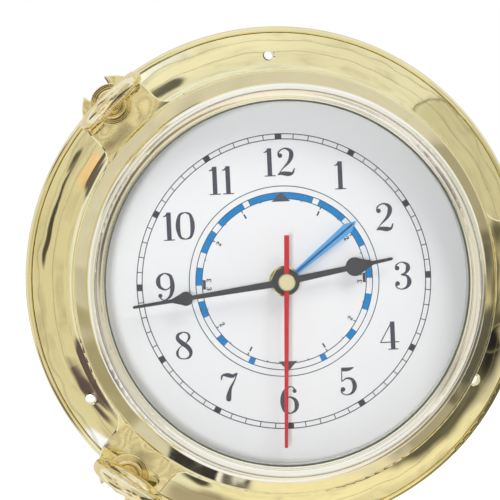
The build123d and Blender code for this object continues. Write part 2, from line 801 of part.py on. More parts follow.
with BuildPart() as movement_case:
    with BuildSketch(front(case_rear_depth, 0, case_middle)):
        RectangleRounded(2 * case_half_width, case_height, case_corner_radius)
    extrude(amount=dial_back_depth - case_rear_depth)
    train_height = case_inner_half_width - bay_wall_top
    with BuildSketch(front(case_rear_depth, 0, bay_wall_top + train_height / 2)):
        Rectangle(2 * case_inner_half_width, train_height)
    extrude(amount=case_inner_front_depth - case_rear_depth, mode=Mode.SUBTRACT)
    with BuildSketch(front(case_rear_depth, 0, (bay_top + bay_bottom) / 2)):
        Rectangle(2 * case_inner_half_width, bay_top - bay_bottom)
    extrude(amount=case_inner_front_depth - case_rear_depth, mode=Mode.SUBTRACT)
    for x, z in post_places:
        top = stator_front_depth if (x, z) == stator_post_place else plate_front_depth
        with BuildSketch(front(top, x, z)):
            Circle(plate_post_radius)
            Circle(screw_radius, mode=Mode.SUBTRACT)
        extrude(amount=case_inner_front_depth - top)
    with BuildSketch(front(case_inner_front_depth)):
        Circle(bush_radius + bush_flange_width + drop_in_gap)
    extrude(amount=bush_flange_thickness, mode=Mode.SUBTRACT)
    with BuildSketch(front(case_inner_front_depth)):
        Circle(bush_radius + drop_in_gap)
    extrude(amount=case_front_wall, mode=Mode.SUBTRACT)
    with BuildSketch(front(case_inner_front_depth)):
        with Locations(*pivot_places, setting_place):
            Circle(pivot_radius + running_gap)
    extrude(amount=pivot_length + end_play, mode=Mode.SUBTRACT)
keep(movement_case, "movement_case")

with BuildPart() as threaded_bush:
    with BuildSketch(front(case_inner_front_depth)):
        Circle(bush_radius + bush_flange_width)
    extrude(amount=bush_flange_thickness)
    with BuildSketch(front(case_inner_front_depth)):
        Circle(bush_radius)
    extrude(amount=bush_front_depth - case_inner_front_depth)
    with BuildSketch(front(case_inner_front_depth)):
        Circle(tide_tube_radius + running_gap)
    extrude(amount=bush_front_depth - case_inner_front_depth, mode=Mode.SUBTRACT)
keep(threaded_bush, "threaded_bush")

with BuildPart() as dial_washer:
    with BuildSketch(front(dial_front_depth)):
        Circle(bush_radius + dial_washer_width)
        Circle(bush_radius + drop_in_gap, mode=Mode.SUBTRACT)
    extrude(amount=dial_washer_thickness)
keep(dial_washer, "dial_washer")

dial_nut_back_depth = dial_front_depth + dial_washer_thickness
with BuildPart() as dial_nut:
    with BuildSketch(front(dial_nut_back_depth)):
        RegularPolygon(bush_radius + dial_nut_wall, 6, major_radius=False)
        Circle(bush_radius, mode=Mode.SUBTRACT)
    extrude(amount=bush_front_depth - dial_nut_back_depth)
keep(dial_nut, "dial_nut")

# Plate that carries the rear pivots
with BuildPart() as gear_plate:
    plate_centre = ((gear_plate_left + gear_plate_right) / 2, (gear_plate_bottom + gear_plate_top) / 2)
    with BuildSketch(front(plate_rear_depth)):
        with Locations(plate_centre):
            RectangleRounded(
                gear_plate_right - gear_plate_left, gear_plate_top - gear_plate_bottom, plate_post_radius
            )
        with Locations(centre_place, *pivot_places):
            Circle(pivot_radius + running_gap, mode=Mode.SUBTRACT)
        with Locations(setting_place):
            Circle(setting_shaft_radius + running_gap, mode=Mode.SUBTRACT)
        with Locations(*post_places):
            Circle(screw_radius + drop_in_gap, mode=Mode.SUBTRACT)
    extrude(amount=gear_plate_thickness)
keep(gear_plate, "gear_plate")

with BuildPart() as plate_screws:
    for x, z in post_places:
        with BuildSketch(front(plate_rear_depth, x, z)):
            Circle(screw_head_radius)
        extrude(amount=-screw_head_height)
        with BuildSketch(front(plate_rear_depth, x, z)):
            Circle(screw_radius - running_gap)
        extrude(amount=case_wall + 2 * gear_plate_thickness)
keep(plate_screws, "plate_screws")

# Rear cover over the train, leaving the cell bay open
with BuildPart() as rear_cover:
    cover_height = case_half_width - bay_top
    cover_middle = case_half_width - cover_height / 2
    with BuildSketch(front(cover_rear_depth, 0, cover_middle)):
        RectangleRounded(2 * case_half_width, cover_height, case_corner_radius)
    extrude(amount=case_rear_depth - cover_rear_depth)
    with BuildSketch(front(cover_rear_depth + case_wall, 0, cover_middle)):
        Rectangle(2 * case_inner_half_width, cover_height - 2 * case_wall)
    extrude(amount=case_rear_depth - cover_rear_depth - case_wall, mode=Mode.SUBTRACT)
    with BuildSketch(front(cover_rear_depth)):
        with Locations(setting_place):
            Circle(setting_shaft_radius + drop_in_gap)
    extrude(amount=case_wall, mode=Mode.SUBTRACT)
keep(rear_cover, "rear_cover")


def tooth_ring(teeth, module, phase):
    """The outline of a toothed wheel about the local origin, four points to a tooth."""
    pitch_radius = module * teeth / 2
    tip_radius = pitch_radius + tooth_tip_share * module
    root_radius = pitch_radius - tooth_root_share * module
    corners = (
        (-tooth_root_width_share / 2, root_radius),
        (-tooth_tip_width_share / 2, tip_radius),
        (tooth_tip_width_share / 2, tip_radius),
        (tooth_root_width_share / 2, root_radius),
    )
    points = []
    for tooth in range(teeth):
        for share, radius in corners:
            angle = phase + (tooth + share) * tau / teeth
            points.append((radius * cos(angle), radius * sin(angle)))
    Polyline(*points, close=True)


def meshed_phase(phase, teeth, mate_teeth, direction):
    """The phase that puts a mate's gaps on the teeth of a wheel, the mate lying in a direction."""
    towards = radians(direction)
    return towards + pi + (towards - phase) * teeth / mate_teeth + pi / mate_teeth


# Phases of the wheels at rest, worked outward from the centre
cannon_phase = 0.0
motion_phase = meshed_phase(cannon_phase, cannon_teeth, motion_teeth, motion_arbor_angle)
setting_phase = meshed_phase(motion_phase, motion_teeth, setting_teeth, setting_angle)
hour_phase = 0.0
hour_pinion_phase = meshed_phase(hour_phase, hour_teeth, hour_pinion_teeth, motion_arbor_angle)
tide_phase = 0.0
tide_pinion_phase = meshed_phase(tide_phase, tide_teeth, tide_pinion_teeth, motion_arbor_angle)
centre_phase = 0.0
third_pinion_phase = meshed_phase(centre_phase, centre_teeth, third_pinion_teeth, third_arbor_angle)
second_pinion_phase = 0.0
third_phase = meshed_phase(second_pinion_phase, second_pinion_teeth, third_teeth, third_arbor_angle)
second_phase = 0.0
fifth_pinion_phase = meshed_phase(second_phase, second_teeth, fifth_pinion_teeth, fifth_arbor_angle)
fifth_phase = 0.0
rotor_phase = meshed_phase(fifth_phase, fifth_teeth, rotor_teeth, rotor_angle)
pinion_overlap = (pinion_face - wheel_thickness) / 2


def add_teeth(depth, where, teeth, module, phase, face=wheel_thickness):
    """Adds a toothed disc to the part being built."""
    with BuildSketch(front(depth, *where)) as outline:
        with BuildLine():
            tooth_ring(teeth, module, phase)
        make_face()
    extrude(outline.sketch, amount=face)


def add_rod(depth, where, radius, length, mode=Mode.ADD):
    """Adds to the part being built, or cuts from it, a rod that runs forward from a depth."""
    with Locations(front(depth, *where)):
        Cylinder(radius, length, align=(Align.CENTER, Align.CENTER, Align.MIN), mode=mode)


def add_arbor(where, rear_depth, front_depth):
    """Adds a plain arbor with a thin pivot at each end to the part being built."""
    length = front_depth - rear_depth
    add_rod(rear_depth, where, arbor_radius, length)
    add_rod(rear_depth - pivot_length, where, pivot_radius, length + 2 * pivot_length)


def bore_through(rear_depth, front_depth, radius):
    """Cuts the bore of a tube on the dial's axis out of the part being built."""
    length = front_depth - rear_depth + 2 * cut_overrun
    add_rod(rear_depth - cut_overrun, centre_place, radius, length, Mode.SUBTRACT)


# The tubes end flush with their hands
tide_tube_end = tide_hand_depth + hand_thickness
hour_tube_end = hour_hand_depth + hand_thickness
minute_tube_end = minute_hand_depth + hand_thickness

with BuildPart() as tide_wheel:
    add_teeth(tide_layer_depth, centre_place, tide_teeth, tide_module, tide_phase)
    add_rod(tide_layer_depth, centre_place, tide_tube_radius, tide_tube_end - tide_layer_depth)
    bore_through(tide_layer_depth, tide_tube_end, hour_tube_radius + running_gap)
keep(tide_wheel, "tide_wheel")

with BuildPart() as hour_wheel:
    add_teeth(hour_layer_depth, centre_place, hour_teeth, hour_module, hour_phase)
    add_rod(hour_layer_depth, centre_place, hour_tube_radius, hour_tube_end - hour_layer_depth)
    bore_through(hour_layer_depth, hour_tube_end, minute_tube_radius + running_gap)
keep(hour_wheel, "hour_wheel")

with BuildPart() as centre_wheel:
    add_teeth(centre_layer_depth, centre_place, centre_teeth, train_module, centre_phase)
    add_teeth(motion_layer_depth, centre_place, cannon_teeth, motion_module, cannon_phase)
    tube_length = minute_tube_end - centre_layer_depth
    add_rod(centre_layer_depth, centre_place, minute_tube_radius, tube_length)
    bore_through(centre_layer_depth, minute_tube_end, arbor_radius + running_gap)
keep(centre_wheel, "centre_wheel")

with BuildPart() as motion_wheel:
    add_arbor(motion_place, arbor_rear_depth, arbor_front_depth)
    add_teeth(motion_layer_depth, motion_place, motion_teeth, motion_module, motion_phase)
    add_teeth(
        hour_layer_depth - pinion_overlap,
        motion_place,
        hour_pinion_teeth,
        hour_module,
        hour_pinion_phase,
        pinion_face,
    )
    add_teeth(
        tide_layer_depth - pinion_overlap,
        motion_place,
        tide_pinion_teeth,
        tide_module,
        tide_pinion_phase,
        pinion_face,
    )
keep(motion_wheel, "motion_wheel")

with BuildPart() as third_wheel:
    add_arbor(third_place, arbor_rear_depth, arbor_front_depth)
    add_teeth(third_layer_depth, third_place, third_teeth, third_module, third_phase)
    add_teeth(
        centre_layer_depth - pinion_overlap,
        third_place,
        third_pinion_teeth,
        train_module,
        third_pinion_phase,
        pinion_face,
    )
keep(third_wheel, "third_wheel")

with BuildPart() as second_wheel:
    add_teeth(second_layer_depth, centre_place, second_teeth, second_module, second_phase)
    add_teeth(
        third_layer_depth - pinion_overlap,
        centre_place,
        second_pinion_teeth,
        third_module,
        second_pinion_phase,
        pinion_face,
    )
    arbor_length = second_hand_depth + hand_thickness - arbor_rear_depth
    add_rod(arbor_rear_depth, centre_place, arbor_radius, arbor_length)
    add_rod(arbor_rear_depth - pivot_length, centre_place, pivot_radius, 2 * pivot_length)
keep(second_wheel, "second_wheel")

with BuildPart() as fifth_wheel:
    add_arbor(fifth_place, arbor_rear_depth, arbor_front_depth)
    add_teeth(fifth_layer_depth, fifth_place, fifth_teeth, rotor_module, fifth_phase)
    add_teeth(
        second_layer_depth - pinion_overlap,
        fifth_place,
        fifth_pinion_teeth,
        second_module,
        fifth_pinion_phase,
        pinion_face,
    )
keep(fifth_wheel, "fifth_wheel")

with BuildPart() as rotor:
    add_arbor(rotor_place, arbor_rear_depth, arbor_front_depth)
    add_teeth(
        fifth_layer_depth - pinion_overlap,
        rotor_place,
        rotor_teeth,
        rotor_module,
        rotor_phase,
        pinion_face,
    )
    add_rod(arbor_rear_depth, rotor_place, magnet_radius, magnet_thickness)
keep(rotor, "rotor")

# Setting knob, its shaft through the rear cover and its pinion on the motion wheel
with BuildPart() as setting_knob:
    with BuildSketch(front(knob_front_depth, *setting_place)):
        Circle(setting_knob_radius)
        with PolarLocations(setting_knob_radius, setting_knob_teeth):
            Circle(setting_knob_groove, mode=Mode.SUBTRACT)
    extrude(amount=-setting_knob_thickness)
    shaft_length = arbor_front_depth - knob_front_depth
    add_rod(knob_front_depth, setting_place, setting_shaft_radius, shaft_length)
    add_rod(knob_front_depth, setting_place, pivot_radius, shaft_length + pivot_length)
    add_teeth(
        motion_layer_depth - pinion_overlap,
        setting_place,
        setting_teeth,
        motion_module,
        setting_phase,
        pinion_face,
    )
keep(setting_knob, "setting_knob")

# Motor: stator plate round the rotor, with the coil on its core
stator_left = rotor_place[0] - stator_left_reach
stator_bottom = rotor_place[1] - stator_pole_half_height
stator_pole_top = rotor_place[1] + stator_pole_half_height
stator_tab_top = rotor_place[1] + stator_height
stator_tab_bottom = stator_tab_top - stator_tab_height
stator_core_right = rotor_place[0] - stator_core_reach
stator_link_right = rotor_place[0] - stator_link_reach
with BuildPart() as stator:
    with BuildSketch(front(plate_front_depth)):
        with Locations((stator_left, stator_bottom)):
            Rectangle(
                stator_left_reach + stator_pole_reach,
                2 * stator_pole_half_height,
                align=(Align.MIN, Align.MIN),
            )
        with Locations((stator_left, stator_tab_bottom)):
            Rectangle(
                stator_left_reach - stator_link_reach, stator_tab_height, align=(Align.MIN, Align.MIN)
            )
        columns = ((stator_core_right, stator_core_width), (stator_link_right, stator_link_width))
        for right, width in columns:
            with Locations((right, stator_bottom)):
                Rectangle(width, stator_tab_top - stator_bottom, align=(Align.MAX, Align.MIN))
        with Locations(rotor_place):
            Circle(stator_hole_radius, mode=Mode.SUBTRACT)
        with Locations(stator_post_place):
            Circle(screw_radius + drop_in_gap, mode=Mode.SUBTRACT)
    extrude(amount=stator_thickness)
keep(stator, "stator")

stator_core_centre = stator_core_right - stator_core_width / 2
coil_depth = plate_front_depth + stator_thickness / 2
bobbin_bottom = stator_pole_top + bobbin_gap
bobbin_top = stator_tab_bottom - flat_gap
bobbin_length = bobbin_top - bobbin_bottom
with BuildPart() as coil_bobbin:
    with BuildSketch(Plane.XY.offset(bobbin_bottom)):
        with Locations((stator_core_centre, -coil_depth)):
            Circle(bobbin_tube_radius)
    extrude(amount=bobbin_length)
    for start in (bobbin_bottom, bobbin_top - bobbin_flange):
        with BuildSketch(Plane.XY.offset(start)):
            with Locations((stator_core_centre, -coil_depth)):
                Circle(bobbin_radius)
        extrude(amount=bobbin_flange)
    with BuildSketch(Plane.XY.offset(bobbin_bottom)):
        with Locations((stator_core_centre, -coil_depth)):
            Rectangle(stator_core_width + 2 * drop_in_gap, stator_thickness + 2 * drop_in_gap)
    extrude(amount=bobbin_length, mode=Mode.SUBTRACT)
keep(coil_bobbin, "coil_bobbin")

with BuildPart() as coil_winding:
    with BuildSketch(Plane.XY.offset(bobbin_bottom + bobbin_flange)):
        with Locations((stator_core_centre, -coil_depth)):
            Circle(winding_radius)
            Circle(bobbin_tube_radius, mode=Mode.SUBTRACT)
    extrude(amount=bobbin_length - 2 * bobbin_flange)
keep(coil_winding, "coil_winding")

# Circuit board on the back of the gear plate, with the quartz crystal's can
board_place = (
    gear_plate_right - board_inset - board_width / 2,
    gear_plate_top - board_inset - board_height / 2,
)
with BuildPart() as circuit_board:
    with BuildSketch(front(plate_rear_depth)):
        with Locations(board_place):
            Rectangle(board_width, board_height)
    extrude(amount=-board_thickness)
keep(circuit_board, "circuit_board")

crystal_depth = plate_rear_depth - board_thickness - crystal_radius
with BuildPart() as quartz_can:
    with BuildSketch(Plane.YZ.offset(board_place[0] - crystal_length / 2)):
        with Locations((-crystal_depth, board_place[1])):
            Circle(crystal_radius)
    extrude(amount=crystal_length)
keep(quartz_can, "quartz_can")

# Cell and its two contacts
cell_end = case_inner_half_width - contact_thickness - flat_gap - seat_gap
cell_body_end = cell_end - cell_nub_length
with BuildPart() as battery_cell:
    with BuildSketch(Plane.YZ.offset(cell_body_end)):
        with Locations((-cell_depth, cell_height)):
            Circle(cell_radius)
    extrude(amount=-cell_body_length)
    with BuildSketch(Plane.YZ.offset(cell_body_end)):
        with Locations((-cell_depth, cell_height)):
            Circle(cell_nub_radius)
    extrude(amount=cell_nub_length)
keep(battery_cell, "battery_cell")

contact_back = case_inner_half_width - flat_gap
with BuildPart() as contact_plus:
    with BuildSketch(Plane.YZ.offset(contact_back - contact_thickness)):
        with Locations((-cell_depth, cell_height)):
            Rectangle(2 * contact_half_width, 2 * contact_half_height)
    extrude(amount=contact_thickness)
keep(contact_plus, "contact_plus")

# The leaf of the minus contact fills what the cell leaves free
leaf_half_height = contact_half_height - contact_thickness
leaf_reach = cell_body_end - cell_body_length + contact_back - contact_thickness
with BuildPart() as contact_minus:
    with BuildSketch(Plane.YZ.offset(-contact_back)):
        with Locations((-cell_depth, cell_height)):
            Rectangle(2 * contact_half_width, 2 * contact_half_height)
    extrude(amount=contact_thickness)
    leaf_back = contact_thickness - contact_back
    with BuildSketch(Plane.XZ.offset(cell_depth - contact_half_width / 2)):
        with BuildLine():
            ThreePointArc(
                (leaf_back, cell_height - leaf_half_height),
                (leaf_back + leaf_reach, cell_height),
                (leaf_back, cell_height + leaf_half_height),
            )
            Line(
                (leaf_back, cell_height + leaf_half_height),
                (leaf_back, cell_height + leaf_half_height - contact_thickness),
            )
            ThreePointArc(
                (leaf_back, cell_height + leaf_half_height - contact_thickness),
                (leaf_back + leaf_reach - contact_thickness, cell_height),
                (leaf_back, cell_height - leaf_half_height + contact_thickness),
            )
            Line(
                (leaf_back, cell_height - leaf_half_height + contact_thickness),
                (leaf_back, cell_height - leaf_half_height),
            )
        make_face()
    extrude(amount=contact_half_width)
keep(contact_minus, "contact_minus")


minute_hand_length = lip_radius - minute_hand_lip_gap
second_hand_length = lip_radius - second_hand_lip_gap


def spade_outline(length, root_half_width, neck_half_width, bulb_place, bulb_radius):
    """One half of a spade hand: a tapering stem, a round bulb drawn out to a blunt needle."""
    rise = asin(neck_half_width / bulb_radius)
    stem_end = bulb_place - bulb_radius * cos(rise)
    drop = radians(bulb_shoulder_angle)
    shoulder = (bulb_place + bulb_radius * cos(drop), bulb_radius * sin(drop))
    needle_start = bulb_place + 2 * bulb_radius
    Polyline((0, 0), (0, root_half_width), (stem_end, neck_half_width))
    ThreePointArc((stem_end, neck_half_width), (bulb_place, bulb_radius), shoulder)
    Polyline(
        shoulder,
        (needle_start, hand_bulb_end_half_width),
        (length - hand_tip_half_width, hand_tip_half_width),
        (length, hand_tip_half_width / 2),
        (length, 0),
        (0, 0),
    )


with BuildPart() as tide_hand:
    with BuildSketch(spoke(tide_hand_depth, tide_hand_angle)):
        with BuildLine():
            Polyline(
                (0, tide_hand_root_half_width),
                (tide_hand_wide_share * tide_hand_length, tide_hand_half_width),
                (tide_hand_length, 0),
                (tide_hand_wide_share * tide_hand_length, -tide_hand_half_width),
                (0, -tide_hand_root_half_width),
                close=True,
            )
        make_face()
        Circle(tide_hand_hub_radius)
        Circle(tide_tube_radius, mode=Mode.SUBTRACT)
    extrude(amount=hand_thickness)
keep(tide_hand, "tide_hand")

with BuildPart() as hour_hand:
    with BuildSketch(spoke(hour_hand_depth, hour_hand_angle)):
        with BuildLine():
            spade_outline(
                hour_hand_length,
                hour_hand_root_half_width,
                hour_hand_neck_half_width,
                hour_bulb_share * hour_hand_length,
                hour_bulb_radius,
            )
        make_face()
        mirror(about=Plane.XZ)
        Circle(hour_hand_hub_radius)
        Circle(hour_tube_radius, mode=Mode.SUBTRACT)
    extrude(amount=hand_thickness)
keep(hour_hand, "hour_hand")

with BuildPart() as minute_hand:
    with BuildSketch(spoke(minute_hand_depth, minute_hand_angle)):
        with BuildLine():
            spade_outline(
                minute_hand_length,
                minute_hand_root_half_width,
                minute_hand_neck_half_width,
                minute_bulb_share * minute_hand_length,
                minute_bulb_radius,
            )
        make_face()
        mirror(about=Plane.XZ)
        Circle(minute_hand_hub_radius)
        Circle(minute_tube_radius, mode=Mode.SUBTRACT)
    extrude(amount=hand_thickness)
keep(minute_hand, "minute_hand")

with BuildPart() as second_hand:
    with BuildSketch(spoke(second_hand_depth, second_hand_angle)):
        with BuildLine():
            Polyline(
                (-second_tail_length, second_tail_half_width),
                (0, second_tail_half_width),
                (second_hand_length, second_hand_half_width),
                (second_hand_length, -second_hand_half_width),
                (0, -second_tail_half_width),
                (-second_tail_length, -second_tail_half_width),
                close=True,
            )
        make_face()
        Circle(second_hand_hub_radius)
        Circle(arbor_radius, mode=Mode.SUBTRACT)
    extrude(amount=hand_thickness)
keep(second_hand, "second_hand")

with BuildPart() as second_cap:
    with BuildSketch(front(second_hand_depth + hand_thickness)):
        Circle(second_cap_radius)
    extrude(amount=second_cap_height)
    chamfer(second_cap.faces().sort_by(Axis.Y)[0].edges(), length=second_cap_dome)
keep(second_cap, "second_cap")
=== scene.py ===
"""Porthole tide clock: looks, printed dial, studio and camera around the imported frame.

Lengths are metres, apart from the dial's print, which is drawn in millimetres.
"""

from math import atan2, cos, hypot, pi, radians, sin

import bpy
from mathutils import Matrix, Vector
from mathutils.geometry import delaunay_2d_cdt


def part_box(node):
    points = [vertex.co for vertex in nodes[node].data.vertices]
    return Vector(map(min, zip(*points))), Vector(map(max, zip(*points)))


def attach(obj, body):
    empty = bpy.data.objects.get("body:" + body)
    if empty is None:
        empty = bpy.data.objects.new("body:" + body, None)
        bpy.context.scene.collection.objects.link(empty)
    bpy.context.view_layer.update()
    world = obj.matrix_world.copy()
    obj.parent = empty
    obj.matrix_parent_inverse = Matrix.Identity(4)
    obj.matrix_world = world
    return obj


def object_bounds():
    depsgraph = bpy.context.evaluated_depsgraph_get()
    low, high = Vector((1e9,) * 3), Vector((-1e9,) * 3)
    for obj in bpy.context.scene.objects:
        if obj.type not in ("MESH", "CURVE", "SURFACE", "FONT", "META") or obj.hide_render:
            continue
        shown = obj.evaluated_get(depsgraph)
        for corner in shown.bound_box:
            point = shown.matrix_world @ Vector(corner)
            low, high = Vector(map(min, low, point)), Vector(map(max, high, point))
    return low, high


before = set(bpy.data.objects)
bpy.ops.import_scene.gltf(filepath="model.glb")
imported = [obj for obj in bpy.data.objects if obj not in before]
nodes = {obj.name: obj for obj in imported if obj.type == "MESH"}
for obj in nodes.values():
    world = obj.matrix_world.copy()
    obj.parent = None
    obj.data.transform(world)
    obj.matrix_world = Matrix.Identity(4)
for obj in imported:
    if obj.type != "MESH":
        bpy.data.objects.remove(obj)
cad_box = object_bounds()

# The millimetre, and places read from the frame
MM = 0.001
clock_low = cad_box[0]
dial_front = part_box("dial_plate")[0].y


# Node helpers
def linked(tree, kind, inputs=None, **settings):
    """A new node with its settings, its inputs set from numbers or linked from other sockets."""
    made = tree.nodes.new(kind)
    for key, value in settings.items():
        setattr(made, key, value)
    for key, value in (inputs or {}).items():
        if isinstance(value, bpy.types.NodeSocket):
            tree.links.new(value, made.inputs[key])
        else:
            made.inputs[key].default_value = value
    return made


def math_node(tree, operation, *values):
    return linked(tree, "ShaderNodeMath", dict(enumerate(values)), operation=operation).outputs[0]


def mixed(tree, factor, first, second):
    """A colour between two colours or colour sockets."""
    return linked(tree, "ShaderNodeMix", {0: factor, 6: first, 7: second}, data_type="RGBA").outputs[2]


def spread(tree, value, low, high, to_low=0.0, to_high=1.0):
    """Maps low..high of a value smoothly to to_low..to_high, held at the ends."""
    return linked(
        tree,
        "ShaderNodeMapRange",
        {0: value, 1: low, 2: high, 3: to_low, 4: to_high},
        interpolation_type="SMOOTHSTEP",
    ).outputs[0]


def rgba(red, green, blue):
    """A colour from sRGB values 0 to 255, as linear light."""
    def linear(part):
        part /= 255
        return part / 12.92 if part <= 0.04045 else ((part + 0.055) / 1.055) ** 2.4

    return (linear(red), linear(green), linear(blue), 1.0)


def noise(tree, vector, scale, detail=3.0, roughness=0.5):
    return linked(
        tree,
        "ShaderNodeTexNoise",
        {"Vector": vector, "Scale": scale, "Detail": detail, "Roughness": roughness},
    ).outputs["Fac"]


def bump(tree, height, distance, below=None):
    """Unevenness of a surface from a height, laid over another one where below is given."""
    inputs = {"Height": height, "Distance": distance}
    if below is not None:
        inputs["Normal"] = below
    return linked(tree, "ShaderNodeBump", inputs).outputs["Normal"]


def object_place(tree):
    return linked(tree, "ShaderNodeTexCoord").outputs["Object"]


# How far the turned lines' noise moves on for each radian round the axis
ROUND_SHARE = 0.004


def turned_place(tree):
    """Place as (radius, a short way round, depth), so a pattern runs round the clock's axis."""
    parts = linked(tree, "ShaderNodeSeparateXYZ", {0: object_place(tree)}).outputs
    radius = math_node(
        tree,
        "SQRT",
        math_node(
            tree,
            "ADD",
            math_node(tree, "MULTIPLY", parts[0], parts[0]),
            math_node(tree, "MULTIPLY", parts[2], parts[2]),
        ),
    )
    angle = math_node(tree, "ARCTAN2", parts[2], parts[0])
    along = math_node(tree, "MULTIPLY", angle, ROUND_SHARE)
    return linked(tree, "ShaderNodeCombineXYZ", {0: radius, 1: along, 2: parts[1]}).outputs[0]


# What the materials share: the part of a noise's range that colour and gloss follow
NOISE_RANGE = (0.3, 0.7)
# How detailed the noises are
GRAIN_DETAIL = 5.0
LINE_DETAIL = 4.0
LINE_ROUGHNESS = 0.6
WAVE_DETAIL = 1.0
DRIFT_SCALE = 30.0
# Shares of a finish's roughness between which its gloss drifts
VARIED_GLOSS = (0.8, 1.25)
TURNED_GLOSS = (0.7, 1.3)
# Width of the border between two colours
BORDER = 0.2 * MM


def material(name, colour, roughness, metallic=0.0, **constants):
    """A Principled material, with its tree and shader for what is added to it."""
    made = bpy.data.materials.new(name)
    made.use_nodes = True
    tree = made.node_tree
    shader = tree.nodes["Principled BSDF"]
    constants.update(base_color=colour, roughness=roughness, metallic=metallic)
    for key, value in constants.items():
        shader.inputs[key.replace("_", " ").title()].default_value = value
    return made, tree, shader


def varied(name, light, dark, roughness, scale, metallic=0.0, grain=None, mirror=0.5):
    """A material whose colour and gloss drift by noise.

    grain is the scale and height of a fine grain in its surface, and mirror is its specular
    level, low for the dull hands and the print on the dial.
    """
    made, tree, shader = material(name, light, roughness, metallic)
    shader.inputs["Specular IOR Level"].default_value = mirror
    place = object_place(tree)
    drift = noise(tree, place, scale)
    tree.links.new(mixed(tree, drift, light, dark), shader.inputs["Base Color"])
    gloss = spread(tree, drift, *NOISE_RANGE, *(roughness * share for share in VARIED_GLOSS))
    tree.links.new(gloss, shader.inputs["Roughness"])
    if grain:
        grain_scale, grain_height = grain
        fine = noise(tree, place, grain_scale, detail=GRAIN_DETAIL)
        tree.links.new(bump(tree, fine, grain_height), shader.inputs["Normal"])
    return made


def turned_metal(name, light, dark, roughness, line_scale, line_height, wave=None, pale=None):
    """Polished metal with fine lines that run round the clock's axis, and a slow drift in its colour.

    wave is the scale and height of the slow unevenness that hand polishing leaves. pale is painted sheen
    inside a radius: the paler colour that stands in for a bright reflection, the radius, and how much rougher
    the metal is there.
    """
    made, tree, shader = material(name, light, roughness, 1.0)
    place = turned_place(tree)
    lines = noise(tree, place, line_scale, detail=LINE_DETAIL, roughness=LINE_ROUGHNESS)
    drift = noise(tree, object_place(tree), DRIFT_SCALE)
    tone = math_node(tree, "MULTIPLY", math_node(tree, "ADD", lines, drift), 0.5)
    colour = mixed(tree, spread(tree, tone, *NOISE_RANGE), light, dark)
    gloss = spread(tree, lines, *NOISE_RANGE, *(roughness * share for share in TURNED_GLOSS))
    # Painted sheen: inside the radius the colour turns paler, standing in for a bright reflection
    if pale:
        sheen_colour, pale_radius, pale_dull = pale
        radius = linked(tree, "ShaderNodeSeparateXYZ", {0: place}).outputs[0]
        share = spread(tree, radius, pale_radius - BORDER, pale_radius, 1.0, 0.0)
        colour = mixed(tree, share, colour, sheen_colour)
        gloss = math_node(tree, "MULTIPLY_ADD", share, pale_dull, gloss)
    tree.links.new(colour, shader.inputs["Base Color"])
    tree.links.new(gloss, shader.inputs["Roughness"])
    uneven = bump(tree, lines, line_height)
    if wave:
        wave_scale, wave_height = wave
        slow = noise(tree, object_place(tree), wave_scale, detail=WAVE_DETAIL)
        uneven = bump(tree, slow, wave_height, uneven)
    tree.links.new(uneven, shader.inputs["Normal"])
    return made


GLASS_IOR = 1.5


def glass_material():
    """Clear glass that the lamps' light passes straight through, so that the dial behind it is lit."""
    made, tree, shader = material("clear_glass", (1, 1, 1, 1), 0.0, transmission_weight=1.0)
    shader.inputs["IOR"].default_value = GLASS_IOR
    paths = linked(tree, "ShaderNodeLightPath").outputs
    see_through = math_node(tree, "MAXIMUM", paths["Is Shadow Ray"], paths["Is Diffuse Ray"])
    clear = linked(tree, "ShaderNodeBsdfTransparent")
    blend = linked(
        tree, "ShaderNodeMixShader", {0: see_through, 1: shader.outputs[0], 2: clear.outputs[0]}
    )
    tree.links.new(blend.outputs[0], tree.nodes["Material Output"].inputs["Surface"])
    return made


CELL_DARK = rgba(38, 42, 48)
CELL_COPPER = rgba(196, 122, 66)
CELL_COPPER_LENGTH = 14 * MM


def cell_material():
    """The cell's wrap: dark over most of its length, copper at the end, with no words."""
    made, tree, shader = material("cell_wrap", (0, 0, 0, 1), 0.3, coat_weight=0.4)
    colour_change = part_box("battery_cell")[1].x - CELL_COPPER_LENGTH
    along = linked(tree, "ShaderNodeSeparateXYZ", {0: object_place(tree)}).outputs[0]
    band = spread(tree, along, colour_change, colour_change + BORDER)
    tree.links.new(mixed(tree, band, CELL_DARK, CELL_COPPER), shader.inputs["Base Color"])
    return made


